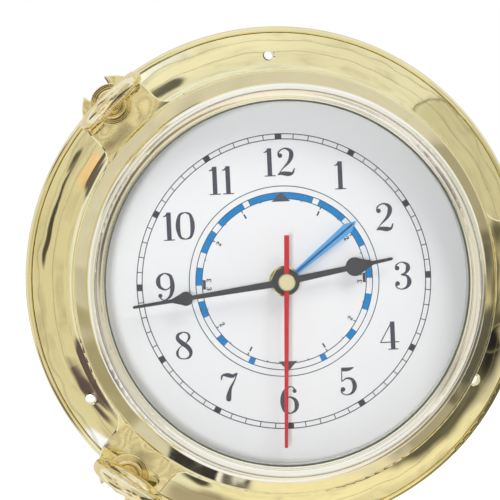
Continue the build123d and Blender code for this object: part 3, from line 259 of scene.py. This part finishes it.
# Finishes that drift by noise: light and dark colour, roughness, scale of the drift, metallic,
# scale and height of the grain, and the specular level where it is lower than usual
HAND_MIRROR = 0.2
VARIED_FINISHES = {
    "dog_brass": ((0.92, 0.82, 0.50, 1), (0.84, 0.70, 0.38, 1), 0.09, 90.0, 1.0, (900.0, 0.01 * MM)),
    "dial_paint": ((0.88, 0.88, 0.89, 1), (0.85, 0.85, 0.87, 1), 0.38, 25.0, 0.0, (2500.0, 0.004 * MM)),
    "seal_rubber": (rgba(104, 110, 92), rgba(84, 90, 74), 0.6, 200.0, 0.0, (1500.0, 0.01 * MM)),
    "case_plastic": (rgba(44, 45, 48), rgba(36, 37, 40), 0.45, 60.0, 0.0, (1800.0, 0.02 * MM)),
    "knob_plastic": (rgba(226, 226, 222), rgba(212, 212, 206), 0.4, 80.0, 0.0, (2200.0, 0.01 * MM)),
    "plate_steel": ((0.62, 0.62, 0.63, 1), (0.52, 0.52, 0.54, 1), 0.3, 300.0, 1.0, (2500.0, 0.006 * MM)),
    "train_brass": ((0.80, 0.66, 0.34, 1), (0.70, 0.55, 0.26, 1), 0.28, 400.0, 1.0, (3000.0, 0.006 * MM)),
    "coil_copper": ((0.72, 0.32, 0.16, 1), (0.55, 0.22, 0.10, 1), 0.3, 500.0, 1.0, (4000.0, 0.03 * MM)),
    "board_green": (rgba(30, 92, 56), rgba(22, 74, 46), 0.35, 300.0, 0.0, (2500.0, 0.01 * MM)),
    "hand_grey": (rgba(66, 67, 70), rgba(52, 53, 56), 0.4, 200.0, 0.0, (2500.0, 0.006 * MM), HAND_MIRROR),
    "hand_red": (rgba(205, 34, 42), rgba(188, 26, 36), 0.4, 200.0, 0.0, (2500.0, 0.006 * MM), HAND_MIRROR),
    "hand_blue": (rgba(96, 170, 226), rgba(84, 156, 214), 0.4, 200.0, 0.0, (2500.0, 0.006 * MM), HAND_MIRROR),
}

# Turned finishes: light and dark colour, roughness, scale and height of the lines, and the
# wave and the painted sheen of a paler part where there are any
BRASS_LIGHT = (0.89, 0.80, 0.45, 1)
BRASS_DEEP = (0.83, 0.735, 0.39, 1)
BRASS_WAVE = (50.0, 0.45 * MM)
# Painted sheen on the bezel's roll: inside 68.8 mm a paler colour stands in for its bright reflection, and
# the metal is rougher there
BEZEL_ROLL_SHEEN = ((0.99, 0.94, 0.75, 1), 68.8 * MM, 0.17)
TURNED_FINISHES = {
    "brass": (BRASS_LIGHT, BRASS_DEEP, 0.05, 3500.0, 0.001 * MM, BRASS_WAVE),
    "bezel_brass": (BRASS_LIGHT, BRASS_DEEP, 0.05, 3500.0, 0.001 * MM, BRASS_WAVE, BEZEL_ROLL_SHEEN),
    "ring_steel": ((0.75, 0.76, 0.70, 1), (0.62, 0.63, 0.57, 1), 0.25, 1600.0, 0.006 * MM),
    "bush_brass": ((0.88, 0.80, 0.50, 1), (0.75, 0.66, 0.36, 1), 0.18, 5000.0, 0.01 * MM),
}

finishes = {name: varied(name, *row) for name, row in VARIED_FINISHES.items()}
finishes.update({name: turned_metal(name, *row) for name, row in TURNED_FINISHES.items()})
finishes["clear_glass"] = glass_material()
finishes["cell_wrap"] = cell_material()

# The nodes that wear each finish
slot_nodes = {
    "brass": ("mount_flange", "hinge_pin"),
    "bezel_brass": ("bezel_ring",),
    "dog_brass": ("dog_washer_upper", "dog_screw_upper", "dog_washer_lower", "dog_screw_lower"),
    "dial_paint": ("dial_plate",),
    "ring_steel": ("dial_snap_ring", "glass_retainer"),
    "clear_glass": ("glass",),
    "seal_rubber": ("glass_seal",),
    "bush_brass": ("dial_washer", "dial_nut", "threaded_bush", "second_cap"),
    "case_plastic": ("movement_case", "rear_cover"),
    "knob_plastic": ("setting_knob", "coil_bobbin"),
    "plate_steel": (
        "gear_plate", "plate_screws", "stator", "quartz_can", "contact_plus", "contact_minus", "rotor",
    ),
    "train_brass": (
        "second_wheel", "centre_wheel", "hour_wheel", "tide_wheel", "motion_wheel", "third_wheel",
        "fifth_wheel",
    ),
    "coil_copper": ("coil_winding",),
    "board_green": ("circuit_board",),
    "cell_wrap": ("battery_cell",),
    "hand_grey": ("hour_hand", "minute_hand"),
    "hand_red": ("second_hand",),
    "hand_blue": ("tide_hand",),
}
for finish_name, names in slot_nodes.items():
    for name in names:
        mesh = nodes[name].data
        mesh.materials.clear()
        mesh.materials.append(finishes[finish_name])


# Flat ink shapes on the dial, in millimetres: x to the right, z up
INK_SUNK = 0.02
INK_PROUD = 0.05
OVERPRINT_PROUD = 0.08
JOIN_GAP = 1e-5
ARC_STEP = 2.0
DISC_POINTS = 20
CURVE_STEPS = 8


def polar(radius, angle):
    """A point at an angle measured clockwise from twelve, in degrees."""
    return Vector((radius * sin(radians(angle)), radius * cos(radians(angle))))


def arc_band(inner, outer, start, end, step=ARC_STEP):
    """Quads of a band between two radii, from one clock angle to another."""
    count = max(1, round((end - start) / step))
    edges = [start + (end - start) * index / count for index in range(count + 1)]
    return [
        [polar(inner, a), polar(outer, a), polar(outer, b), polar(inner, b)]
        for a, b in zip(edges, edges[1:])
    ]


def radial_bar(inner, outer, angle, width):
    """A bar of constant width that points at the middle."""
    side = polar(width / 2, angle + 90)
    low, high = polar(inner, angle), polar(outer, angle)
    return [low - side, high - side, high + side, low + side]


def disc(centre, radius):
    return [Vector(centre) + polar(radius, 360 * index / DISC_POINTS) for index in range(DISC_POINTS)]


def smooth_line(points):
    """A Catmull-Rom line through (x, z, width) points."""
    points = [Vector(p) for p in points]
    ends = [2 * points[0] - points[1]] + points + [2 * points[-1] - points[-2]]
    line = []
    for a, b, c, d in zip(ends, ends[1:], ends[2:], ends[3:]):
        for index in range(CURVE_STEPS):
            t = index / CURVE_STEPS
            square = (2 * a - 5 * b + 4 * c - d) * t**2
            cube = (3 * b - 3 * c + d - a) * t**3
            line.append(((2 * b) + (c - a) * t + square + cube) / 2)
    return line + [points[-1]]


def pen(points):
    """Quads of a stroke whose width changes along it."""
    line = smooth_line(points)
    sides = []
    for index, here in enumerate(line):
        before, after = line[max(index - 1, 0)], line[min(index + 1, len(line) - 1)]
        along = (after - before).to_2d().normalized()
        across = Vector((-along.y, along.x)) * here.z / 2
        sides.append((here.to_2d() + across, here.to_2d() - across))
    return [[a[0], a[1], b[1], b[0]] for a, b in zip(sides, sides[1:])]


def ink(name, outlines, finish, proud=INK_PROUD, ground=dial_front, body="root"):
    """One printed piece: the union of flat outlines, as a thin closed solid on a flat face."""
    points, faces = [], []
    for outline in outlines:
        area = sum(a.x * b.y - a.y * b.x for a, b in zip(outline, outline[1:] + outline[:1]))
        ordered = outline if area > 0 else outline[::-1]
        faces.append(list(range(len(points), len(points) + len(ordered))))
        points += ordered
    flat, _, triangles, _, _, sources = delaunay_2d_cdt(points, [], faces, 1, JOIN_GAP)
    triangles = [triangle for triangle, source in zip(triangles, sources) if source]
    back = ground + INK_SUNK * MM
    front = ground - proud * MM
    count = len(flat)
    vertices = [(p.x * MM, front, p.y * MM) for p in flat] + [(p.x * MM, back, p.y * MM) for p in flat]
    edges = {(t[i], t[(i + 1) % len(t)]) for t in triangles for i in range(len(t))}
    sides = [(b, a, a + count, b + count) for a, b in edges if (b, a) not in edges]
    solid = [tuple(t) for t in triangles]
    solid += [tuple(i + count for i in reversed(t)) for t in triangles]
    solid += sides
    mesh = bpy.data.meshes.new(name)
    mesh.from_pydata(vertices, [], solid)
    mesh.update()
    mesh.materials.append(finish)
    piece = bpy.data.objects.new(name, mesh)
    bpy.context.scene.collection.objects.link(piece)
    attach(piece, body)


# Numerals drawn with a pen: strokes of (x, z, width) and balls of (x, z, radius), one unit high
HAIR = 0.035
STEM = 0.15
BALL = 0.082
FOOT = 0.035


def slab(left, right, low, high):
    return [Vector((left, low)), Vector((right, low)), Vector((right, high)), Vector((left, high))]


# Each numeral's width, strokes, balls and slabs
NUMERALS = {
    "0": (0.56, [
        [(0.28, 0.98, HAIR), (0.43, 0.88, 0.09), (0.485, 0.5, STEM), (0.43, 0.12, 0.09), (0.28, 0.02, HAIR)],
        [(0.28, 0.98, HAIR), (0.13, 0.88, 0.09), (0.075, 0.5, STEM), (0.13, 0.12, 0.09), (0.28, 0.02, HAIR)],
    ], [], []),
    "1": (0.42, [
        [(0.245, 1.0, STEM), (0.245, 0.5, STEM), (0.245, 0.0, STEM)],
        [(0.05, 0.86, HAIR), (0.13, 0.88, 0.05), (0.22, 0.95, 0.09)],
    ], [], [(0.05, 0.44, 0.0, FOOT)]),
    "2": (0.56, [
        [(0.08, 0.72, 0.06), (0.10, 0.87, 0.05), (0.26, 0.975, 0.05), (0.42, 0.88, 0.12),
         (0.44, 0.70, STEM), (0.36, 0.48, 0.10), (0.16, 0.22, HAIR), (0.05, 0.03, HAIR)],
        [(0.05, 0.06, 0.04), (0.17, 0.09, 0.12), (0.34, 0.065, STEM), (0.46, 0.09, 0.08), (0.52, 0.26, HAIR)],
    ], [(0.125, 0.725, BALL)], []),
    "3": (0.54, [
        [(0.07, 0.77, 0.05), (0.11, 0.90, 0.045), (0.25, 0.98, HAIR), (0.40, 0.90, 0.10),
         (0.425, 0.76, STEM), (0.36, 0.60, 0.08), (0.22, 0.535, HAIR)],
        [(0.22, 0.535, HAIR), (0.39, 0.48, 0.08), (0.45, 0.28, STEM), (0.38, 0.09, 0.09),
         (0.22, 0.02, HAIR), (0.09, 0.09, 0.045), (0.06, 0.22, 0.05)],
    ], [(0.12, 0.775, BALL), (0.115, 0.225, BALL)], []),
    "4": (0.58, [
        [(0.38, 1.0, STEM), (0.38, 0.5, STEM), (0.38, 0.0, STEM)],
        [(0.36, 0.98, HAIR), (0.2, 0.64, HAIR), (0.03, 0.27, HAIR)],
        [(0.02, 0.27, HAIR), (0.3, 0.27, HAIR), (0.56, 0.27, HAIR)],
    ], [], [(0.24, 0.52, 0.0, FOOT)]),
    "5": (0.54, [
        [(0.10, 0.99, 0.03), (0.095, 0.72, HAIR), (0.09, 0.50, HAIR)],
        [(0.10, 0.93, 0.13), (0.28, 0.93, 0.12), (0.44, 0.985, 0.03)],
        [(0.09, 0.50, HAIR), (0.22, 0.605, 0.05), (0.38, 0.56, 0.10), (0.45, 0.33, STEM),
         (0.38, 0.10, 0.09), (0.22, 0.02, HAIR), (0.09, 0.09, 0.045), (0.06, 0.21, 0.05)],
    ], [(0.115, 0.22, BALL)], []),
    "6": (0.55, [
        [(0.45, 0.82, 0.05), (0.40, 0.93, 0.045), (0.30, 0.98, HAIR), (0.14, 0.83, 0.10),
         (0.075, 0.50, STEM), (0.12, 0.14, 0.10), (0.28, 0.02, HAIR)],
        [(0.09, 0.42, HAIR), (0.17, 0.56, 0.04), (0.29, 0.61, 0.05), (0.43, 0.50, 0.11),
         (0.47, 0.31, STEM), (0.42, 0.12, 0.09), (0.28, 0.02, HAIR)],
    ], [(0.425, 0.82, BALL * 0.9)], []),
    "7": (0.55, [
        [(0.06, 0.76, HAIR), (0.07, 0.88, 0.06), (0.12, 0.94, 0.07), (0.24, 0.93, 0.14),
         (0.38, 0.89, 0.12), (0.50, 0.99, HAIR)],
        [(0.51, 0.99, HAIR), (0.42, 0.72, 0.05), (0.30, 0.44, 0.10), (0.245, 0.16, STEM + 0.02),
         (0.24, 0.02, STEM)],
    ], [(0.24, 0.07, BALL)], []),
    "8": (0.55, [
        [(0.275, 0.98, HAIR), (0.13, 0.90, 0.09), (0.11, 0.75, 0.13), (0.22, 0.60, 0.15),
         (0.38, 0.44, 0.15), (0.46, 0.25, 0.12), (0.41, 0.08, 0.07), (0.275, 0.02, HAIR)],
        [(0.275, 0.98, HAIR), (0.40, 0.92, 0.06), (0.43, 0.77, 0.08), (0.34, 0.60, HAIR),
         (0.16, 0.44, HAIR), (0.08, 0.24, 0.09), (0.14, 0.07, 0.05), (0.275, 0.02, HAIR)],
    ], [], []),
    "9": (0.55, [
        [(0.10, 0.18, 0.05), (0.15, 0.07, 0.045), (0.25, 0.02, HAIR), (0.41, 0.17, 0.10),
         (0.475, 0.50, STEM), (0.43, 0.86, 0.10), (0.27, 0.98, HAIR)],
        [(0.46, 0.58, HAIR), (0.38, 0.44, 0.04), (0.26, 0.39, 0.05), (0.12, 0.50, 0.11),
         (0.08, 0.69, STEM), (0.13, 0.88, 0.09), (0.27, 0.98, HAIR)],
    ], [(0.125, 0.18, BALL * 0.9)], []),
}
# Gap between two numerals, and the stretch of all but the 1
LETTER_GAP = 0.05
WIDE = 1.27


def written(word, height, centre, turn, weight):
    """Outlines of a number, centred on a point, turned clockwise by degrees, its strokes made bolder."""
    stretches = [1.0 if sign == "1" else WIDE for sign in word]
    widths = [NUMERALS[sign][0] * stretch for sign, stretch in zip(word, stretches)]
    spin = Matrix.Rotation(-radians(turn), 2)
    outlines = []
    left = -(sum(widths) + LETTER_GAP * (len(word) - 1)) / 2
    for sign, stretch, width in zip(word, stretches, widths):
        _, strokes, balls, slabs = NUMERALS[sign]
        shapes = []
        for stroke in strokes:
            shapes += pen([(x * stretch, z, wide * weight) for x, z, wide in stroke])
        shapes += [disc((x * stretch, z), radius) for x, z, radius in balls]
        shapes += [slab(a * stretch, b * stretch, low, high * weight) for a, b, low, high in slabs]
        for shape in shapes:
            outlines.append(
                [Vector(centre) + spin @ ((p + Vector((left, -0.5))) * height) for p in shape]
            )
        left += width + LETTER_GAP
    return outlines


# Inks: light and dark colour, roughness and scale of the drift
INK_MIRROR = 0.15
INKS = {
    "ink_dark": (rgba(66, 66, 78), rgba(76, 76, 88), 0.45, 300.0),
    "ink_fine": (rgba(60, 66, 72), rgba(74, 80, 86), 0.45, 300.0),
    "ink_blue": (rgba(0, 126, 196), rgba(4, 130, 200), 0.4, 120.0),
    "ink_teal": (rgba(30, 70, 90), rgba(42, 82, 100), 0.45, 300.0),
    "ink_grey": (rgba(84, 88, 96), rgba(74, 78, 86), 0.45, 300.0),
}
inks = {name: varied(name, *row, mirror=INK_MIRROR) for name, row in INKS.items()}

# Minute track
TRACK_OUTER = 51.6
TRACK_INNER = 49.45
TRACK_LINE = 0.33
MINUTE_TICK = 0.31
BLOCK_LENGTH = 2.4
BLOCK_STEP = 1.0
track = arc_band(TRACK_OUTER - TRACK_LINE, TRACK_OUTER, 0, 360)
track += arc_band(TRACK_INNER, TRACK_INNER + TRACK_LINE, 0, 360)
track += [radial_bar(TRACK_INNER, TRACK_OUTER, 6 * minute, MINUTE_TICK) for minute in range(60)]
ink("minute_track", track, inks["ink_fine"])
block_half = BLOCK_LENGTH / 2 / TRACK_OUTER * 180 / pi
blocks = []
for hour in range(12):
    start, end = 30 * hour - block_half, 30 * hour + block_half
    blocks += arc_band(TRACK_INNER, TRACK_OUTER, start, end, BLOCK_STEP)
ink("hour_blocks", blocks, inks["ink_dark"])

# Hour numerals
NUMERAL_HEIGHT = 9.8
NUMERAL_RADIUS = 41.6
NUMERAL_WEIGHT = 1.07
for hour in range(1, 13):
    place = polar(NUMERAL_RADIUS, 30 * hour)
    ink(f"numeral_{hour}", written(str(hour), NUMERAL_HEIGHT, place, 0.0, NUMERAL_WEIGHT), inks["ink_dark"])

# Tide scale: its lines, and its ticks at the hours and half hours before and after high tide
TIDE_LINE_RADIUS = 33.35
BAND_OUTER = 31.1
BAND_INNER = 28.6
THIN = 0.30
TIDE_HOURS = (29, 58, 87, 93, 122, 151)
HALF_TIDE_HOURS = (14.5, 43.5, 72.5, 107.5, 136.5, 165.5)
HOUR_TICK, HOUR_TICK_WIDTH = 0.8, 0.36
HALF_TICK, HALF_TICK_WIDTH = 0.4, 0.30
tick_top = BAND_INNER + THIN
tide_lines = arc_band(TIDE_LINE_RADIUS - THIN, TIDE_LINE_RADIUS, 0, 360)
tide_lines += arc_band(BAND_OUTER - THIN, BAND_OUTER, 0, 360)
tide_lines += arc_band(BAND_INNER, tick_top, 0, 360)
for side in (-1, 1):
    for angles, length, width in (
        (TIDE_HOURS, HOUR_TICK, HOUR_TICK_WIDTH),
        (HALF_TIDE_HOURS, HALF_TICK, HALF_TICK_WIDTH),
    ):
        tide_lines += [radial_bar(BAND_INNER - length, tick_top, side * angle, width) for angle in angles]
ink("tide_lines", tide_lines, inks["ink_teal"])

# Blue spans of the band, in degrees from high tide to each side
BLUE_SPANS = ((0, 22), (26, 46.5), (52.4, 68.3), (78.4, 90.4), (101, 112), (127.4, 134.5), (153.3, 157.4))
blue = []
for side in (-1, 1):
    for start, end in BLUE_SPANS:
        blue += arc_band(BAND_INNER + THIN, BAND_OUTER - THIN, *sorted((side * start, side * end)))
ink("tide_band", blue, inks["ink_blue"])

# Tide hour numbers
TIDE_NUMERAL = 1.7
TIDE_NUMERAL_RADIUS = 26.4
TIDE_NUMERAL_WEIGHT = 2.2
numbers = []
for side in (-1, 1):
    for word, angle in zip("123321", TIDE_HOURS):
        turn = side * angle if angle < 90 else side * angle + 180
        place = polar(TIDE_NUMERAL_RADIUS, side * angle)
        numbers += written(word, TIDE_NUMERAL, place, turn, TIDE_NUMERAL_WEIGHT)
ink("tide_numerals", numbers, inks["ink_teal"])

# Triangles at high and low tide, and bars at half tide
TRIANGLE_HALF = 3.3
HIGH_BASE, HIGH_POINT = 27.8, 31.1
LOW_BASE, LOW_POINT = -28.0, -31.4
BAR_INNER, BAR_OUTER = 27.5, 28.5
BAR_HALF_LENGTH, BAR_RADIUS = 1.6, 28.1
high_mark = [Vector(p) for p in ((-TRIANGLE_HALF, HIGH_BASE), (TRIANGLE_HALF, HIGH_BASE), (0, HIGH_POINT))]
low_mark = [Vector(p) for p in ((-TRIANGLE_HALF, LOW_BASE), (0, LOW_POINT), (TRIANGLE_HALF, LOW_BASE))]
bar_half = BAR_HALF_LENGTH / BAR_RADIUS * 180 / pi
bars = []
for angle in (90, 270):
    bars += arc_band(BAR_INNER, BAR_OUTER, angle - bar_half, angle + bar_half)
ink("tide_marks", [high_mark, low_mark], inks["ink_grey"], OVERPRINT_PROUD)
ink("half_tide_bars", bars, inks["ink_dark"], OVERPRINT_PROUD)

# Dark line along the tide hand, from near its hub to its tip, with shoulders just short of the tip
HAND_LINE_WIDTH = 0.7
HAND_LINE_START = 3.9
HAND_LINE_SHOULDER = 0.93
HAND_LINE_TIP = 0.97
hand_tip = max((v.co for v in nodes["tide_hand"].data.vertices), key=lambda p: p.x**2 + p.z**2)
tip_radius = hypot(hand_tip.x, hand_tip.z) / MM
tip_angle = atan2(hand_tip.x, hand_tip.z) * 180 / pi
line_side = polar(HAND_LINE_WIDTH / 2, tip_angle + 90)
line_start = polar(HAND_LINE_START, tip_angle)
line_shoulder = polar(tip_radius * HAND_LINE_SHOULDER, tip_angle)
line_outline = [
    line_start - line_side,
    line_shoulder - line_side,
    polar(tip_radius * HAND_LINE_TIP, tip_angle),
    line_shoulder + line_side,
    line_start + line_side,
]
line_blue = varied("line_blue", rgba(10, 80, 140), rgba(16, 88, 148), 0.4, 200.0, mirror=HAND_MIRROR)
ink("tide_hand_line", [line_outline], line_blue, INK_PROUD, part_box("tide_hand")[0].y, "tide")


# Camera: fitted to the photograph
PICTURE_PIXELS = 500
SENSOR_WIDTH = 36.0
FOCAL_PIXELS = 1510.3
CAMERA_SHIFT = (0.14, -0.1074)
CLIP_START = 0.01
CAMERA_PLACE = (-0.05512, -0.550, 0.03216)
CAMERA_YAW, CAMERA_PITCH, CAMERA_ROLL = radians(2.183), radians(-0.108), radians(2.536)
camera_data = bpy.data.cameras.new("camera")
camera = bpy.data.objects.new("camera", camera_data)
bpy.context.scene.collection.objects.link(camera)
camera_data.sensor_width = SENSOR_WIDTH
camera_data.lens = FOCAL_PIXELS / PICTURE_PIXELS * SENSOR_WIDTH
camera_data.shift_x, camera_data.shift_y = CAMERA_SHIFT
camera_data.clip_start = CLIP_START
camera.matrix_world = (
    Matrix.Translation(CAMERA_PLACE)
    @ Matrix.Rotation(-CAMERA_YAW, 4, "Z")
    @ Matrix.Rotation(pi / 2 + CAMERA_PITCH, 4, "X")
    @ Matrix.Rotation(-CAMERA_ROLL, 4, "Z")
)
bpy.context.scene.camera = camera

# Floor: pale, with a glow that only the camera sees, straight or through glass, and not there for
# what the brass mirrors
FLOOR_HALF = 3.0
FLOOR_COLOUR = (0.82, 0.82, 0.82, 1)
FLOOR_ROUGHNESS = 0.9
FLOOR_GLOW = 0.85
floor_mesh = bpy.data.meshes.new("floor")
corners = ((-1, -1), (1, -1), (1, 1), (-1, 1))
floor_mesh.from_pydata(
    [(x * FLOOR_HALF, y * FLOOR_HALF, clock_low.z) for x, y in corners], [], [(0, 1, 2, 3)]
)
floor = bpy.data.objects.new("floor", floor_mesh)
bpy.context.scene.collection.objects.link(floor)
floor_finish, floor_tree, floor_shader = material("floor", FLOOR_COLOUR, FLOOR_ROUGHNESS)
floor_paths = linked(floor_tree, "ShaderNodeLightPath").outputs
seen = math_node(floor_tree, "MAXIMUM", floor_paths["Is Camera Ray"], floor_paths["Is Transmission Ray"])
glow = math_node(floor_tree, "MULTIPLY", seen, FLOOR_GLOW)
floor_shader.inputs["Emission Color"].default_value = (1, 1, 1, 1)
floor_tree.links.new(glow, floor_shader.inputs["Emission Strength"])
floor_open = linked(
    floor_tree,
    "ShaderNodeMixShader",
    {
        0: floor_paths["Is Glossy Ray"],
        1: floor_shader.outputs[0],
        2: linked(floor_tree, "ShaderNodeBsdfTransparent").outputs[0],
    },
)
floor_tree.links.new(floor_open.outputs[0], floor_tree.nodes["Material Output"].inputs["Surface"])
floor_mesh.materials.append(floor_finish)

# World: directions as yaw and pitch in degrees, seen from the clock, yaw 0 straight ahead of the dial
world = bpy.data.worlds.new("studio")
bpy.context.scene.world = world
world.use_nodes = True
sky = world.node_tree
sky_back = sky.nodes["Background"]
paths = linked(sky, "ShaderNodeLightPath").outputs
direction = linked(sky, "ShaderNodeTexCoord").outputs["Generated"]
side_way, front_way, up_way = linked(sky, "ShaderNodeSeparateXYZ", {0: direction}).outputs
clock_front = math_node(sky, "MULTIPLY", front_way, -1.0)
sky_yaw = math_node(sky, "DEGREES", math_node(sky, "ARCTAN2", side_way, clock_front))
sky_pitch = math_node(sky, "DEGREES", math_node(sky, "ARCSINE", up_way))


def off_centre(yaw, pitch, half_yaw, half_pitch, turn):
    """How far a direction lies from the middle of an oval, as a share of the oval's own size."""
    lean_cos, lean_sin = cos(radians(turn)), sin(radians(turn))
    yaw_off = math_node(sky, "SUBTRACT", sky_yaw, yaw)
    pitch_off = math_node(sky, "SUBTRACT", sky_pitch, pitch)
    along = math_node(
        sky, "MULTIPLY_ADD", yaw_off, lean_cos / half_yaw,
        math_node(sky, "MULTIPLY", pitch_off, lean_sin / half_yaw),
    )
    across = math_node(
        sky, "MULTIPLY_ADD", pitch_off, lean_cos / half_pitch,
        math_node(sky, "MULTIPLY", yaw_off, -lean_sin / half_pitch),
    )
    return math_node(
        sky, "SQRT",
        math_node(sky, "MULTIPLY_ADD", along, along, math_node(sky, "MULTIPLY", across, across)),
    )


def zone(below, yaw, pitch, half_yaw, half_pitch, turn, soft, colour):
    """An oval zone of colour in what glossy rays see, over the zones below it.

    Its middle and half sizes are degrees of yaw and pitch, turn leans it anticlockwise,
    and soft is the share of its half size over which its edge fades.
    """
    reach = off_centre(yaw, pitch, half_yaw, half_pitch, turn)
    return mixed(sky, spread(sky, reach, 1 - soft, 1 + soft, 1.0, 0.0), below, (*colour, 1))


def rim(below, yaw, pitch, radius, half_width, colour):
    """A thin round line of colour in what glossy rays see, in degrees."""
    off_line = math_node(
        sky, "ABSOLUTE", math_node(sky, "SUBTRACT", off_centre(yaw, pitch, radius, radius, 0), 1.0)
    )
    return mixed(sky, spread(sky, off_line, 0.0, half_width / radius, 1.0, 0.0), below, (*colour, 1))


# What the brass mirrors: ovals of a made-up room, each over those before it, the last for the glass
ROOM_ZONES = (
    # yaw, pitch, half yaw, half pitch, turn, soft, colour
    (-50, 0, 32, 48, 0, 0.35, (0.82, 0.80, 0.74)),
    (98, -46, 17, 46, 0, 0.15, (0.70, 0.55, 0.38)),
    (20, -50, 36, 34, 0, 0.30, (1.06, 1.03, 0.92)),
    (-6, 36, 20, 12, 0, 0.40, (1.02, 1.04, 1.10)),
    (58, 8, 27.6, 27.6, 0, 0.08, (0.70, 0.70, 0.66)),
    (80, -36, 42, 33, 0, 0.12, (0.13, 0.13, 0.12)),
    (-10, -42, 10, 10, 0, 0.40, (0.47, 0.43, 0.42)),
    (90, -58, 22, 24, 0, 0.30, (0.54, 0.40, 0.26)),
    (54, -17, 12, 5, 0, 0.40, (0.02, 0.02, 0.03)),
    (5.5, -3.5, 19, 19, 0, 0.08, (0.78, 0.79, 0.93)),
    (-9.5, -9.5, 3.5, 5.5, 28, 0.35, (0.45, 0.43, 0.38)),
    (24, -6, 12.5, 14.5, 0, 0.06, (0.46, 0.45, 0.46)),
    (24, -8, 7.5, 7.5, 0, 0.12, (0.12, 0.12, 0.14)),
    (9, -19.5, 6, 3, 0, 0.25, (1.06, 1.02, 0.92)),
    (-0.8, -17.8, 3.6, 2.4, -24, 0.20, (0.03, 0.03, 0.05)),
    (0.9, -18.2, 0.7, 2.2, -24, 0.30, (1.15, 1.2, 1.6)),
    (50, 13, 9, 8, 0, 0.30, (0.72, 0.72, 0.68)),
    (-43, -27, 5, 8, 0, 0.22, (0.13, 0.10, 0.16)),
    (-41, -34, 1.6, 5, 20, 0.40, (0.95, 0.92, 0.85)),
    (-57, 29, 11, 6, 10, 0.30, (0.15, 0.14, 0.16)),
    (-78, 29, 13, 7, 0, 0.30, (0.15, 0.14, 0.16)),
    (-42, 22.5, 5, 3.0, 30, 0.35, (1.08, 0.80, 0.62)),
    (-24, 43, 6.5, 4.5, 25, 0.30, (0.14, 0.15, 0.17)),
    (-34.5, 6, 2.4, 5.0, -10, 0.22, (0.06, 0.06, 0.07)),
    (-32.0, 12.5, 1.1, 5.5, -20, 0.35, (0.06, 0.06, 0.07)),
    (-28.5, 17.5, 1.6, 2.6, 10, 0.35, (0.06, 0.06, 0.07)),
    (-72, -29, 22, 11, 0, 0.20, (0.13, 0.10, 0.15)),
    (-21.8, -25.3, 9, 2.6, 41, 0.25, (1.15, 1.30, 2.3)),
    (-12, 26, 6, 3, 30, 0.40, (1.15, 1.25, 1.8)),
    (-26, -54, 7, 3.5, 0, 0.40, (0.05, 0.05, 0.05)),
    (-0.5, 3.3, 5, 5, 0, 0.20, (1.06, 1.02, 0.92)),
    (0.0, -10.3, 5, 4, 0, 0.20, (1.06, 1.02, 0.92)),
    (15, -3.5, 4, 5, 0, 0.20, (0.90, 0.84, 0.74)),
    (6.0, -3.3, 7.6, 7.3, 0, 0.10, (0.10, 0.10, 0.10)),
)
ROOM_RIMS = (
    # yaw, pitch, radius, half width, colour
    (3, -2, 46.8, 0.40, (0.26, 0.21, 0.18)),
    (5, -2, 35.5, 0.35, (0.34, 0.32, 0.28)),
    (58, 8, 27.6, 0.50, (0.20, 0.20, 0.18)),
)
# Middles of what the flat faces of the ears mirror, the radii of the lines drawn round them, and the
# half width and colour of these lines
EAR_MIDDLES = ((-0.5, 3.3), (0.0, -10.3))
EAR_RADII = (0.7, 1.5, 2.3)
EAR_LINE = (0.26, (0.22, 0.14, 0.09))

# What the brass mirrors under the ovals: pale ahead, brighter aside, dimmer behind the clock,
# where the range holds cosines of the angle from straight ahead
AHEAD = (0.93, 0.95, 1.02, 1)
ASIDE = (1.0, 1.08, 1.35, 1)
ASIDE_FROM, ASIDE_FULL = radians(56), radians(74)
BEHIND = (0.86, 0.84, 0.78, 1)
BEHIND_RANGE = (-0.40, -0.12)
# Cloudy patches over all of it
MOTTLE_SCALE = 7.0
MOTTLE_DETAIL = 5.0
MOTTLE_ROUGHNESS = 0.6
MOTTLE_RANGE = (0.45, 0.75)
MOTTLE_MOST = 0.45
MOTTLE_COLOUR = (0.35, 0.32, 0.30, 1)
# The even light that matt surfaces get, and the white that the camera sees behind the clock
EVEN_LIGHT = (0.15, 0.152, 0.158, 1)
WHITE = (1, 1, 1, 1)

aside = spread(sky, clock_front, cos(ASIDE_FULL), cos(ASIDE_FROM), 1.0, 0.0)
studio = mixed(sky, aside, AHEAD, ASIDE)
studio = mixed(sky, spread(sky, clock_front, *BEHIND_RANGE, 1.0, 0.0), studio, BEHIND)
for room_zone in ROOM_ZONES:
    studio = zone(studio, *room_zone)
for room_rim in ROOM_RIMS:
    studio = rim(studio, *room_rim)
for ear_yaw, ear_pitch in EAR_MIDDLES:
    for radius in EAR_RADII:
        studio = rim(studio, ear_yaw, ear_pitch, radius, *EAR_LINE)
mottle = noise(sky, direction, MOTTLE_SCALE, MOTTLE_DETAIL, MOTTLE_ROUGHNESS)
studio = mixed(sky, spread(sky, mottle, *MOTTLE_RANGE, 0.0, MOTTLE_MOST), studio, MOTTLE_COLOUR)
glossy = mixed(sky, paths["Is Glossy Ray"], EVEN_LIGHT, studio)
plain = math_node(sky, "MAXIMUM", paths["Is Camera Ray"], paths["Is Transmission Ray"])
sky.links.new(mixed(sky, plain, glossy, WHITE), sky_back.inputs["Color"])


# Lamps
def lamp(name, place, size, power, colour=(1, 1, 1)):
    """A soft square lamp that points at the clock and shows in no reflection."""
    data = bpy.data.lights.new(name, "AREA")
    data.color = colour
    data.shape = "SQUARE"
    data.size = size
    data.energy = power
    made = bpy.data.objects.new(name, data)
    bpy.context.scene.collection.objects.link(made)
    made.location = place
    made.rotation_euler = Vector(place).to_track_quat("Z", "Y").to_euler()
    made.visible_glossy = False
    made.visible_transmission = False


lamp("key", (0.45, -0.85, 1.05), size=0.7, power=10.5, colour=(1.0, 0.985, 0.94))
lamp("rear", (0.50, 0.90, 0.60), size=0.7, power=7.0)
lamp("front", (-0.22, -0.90, 0.0), size=0.17, power=3.6, colour=(0.95, 0.98, 1.0))

bpy.context.scene.view_settings.view_transform = "Standard"
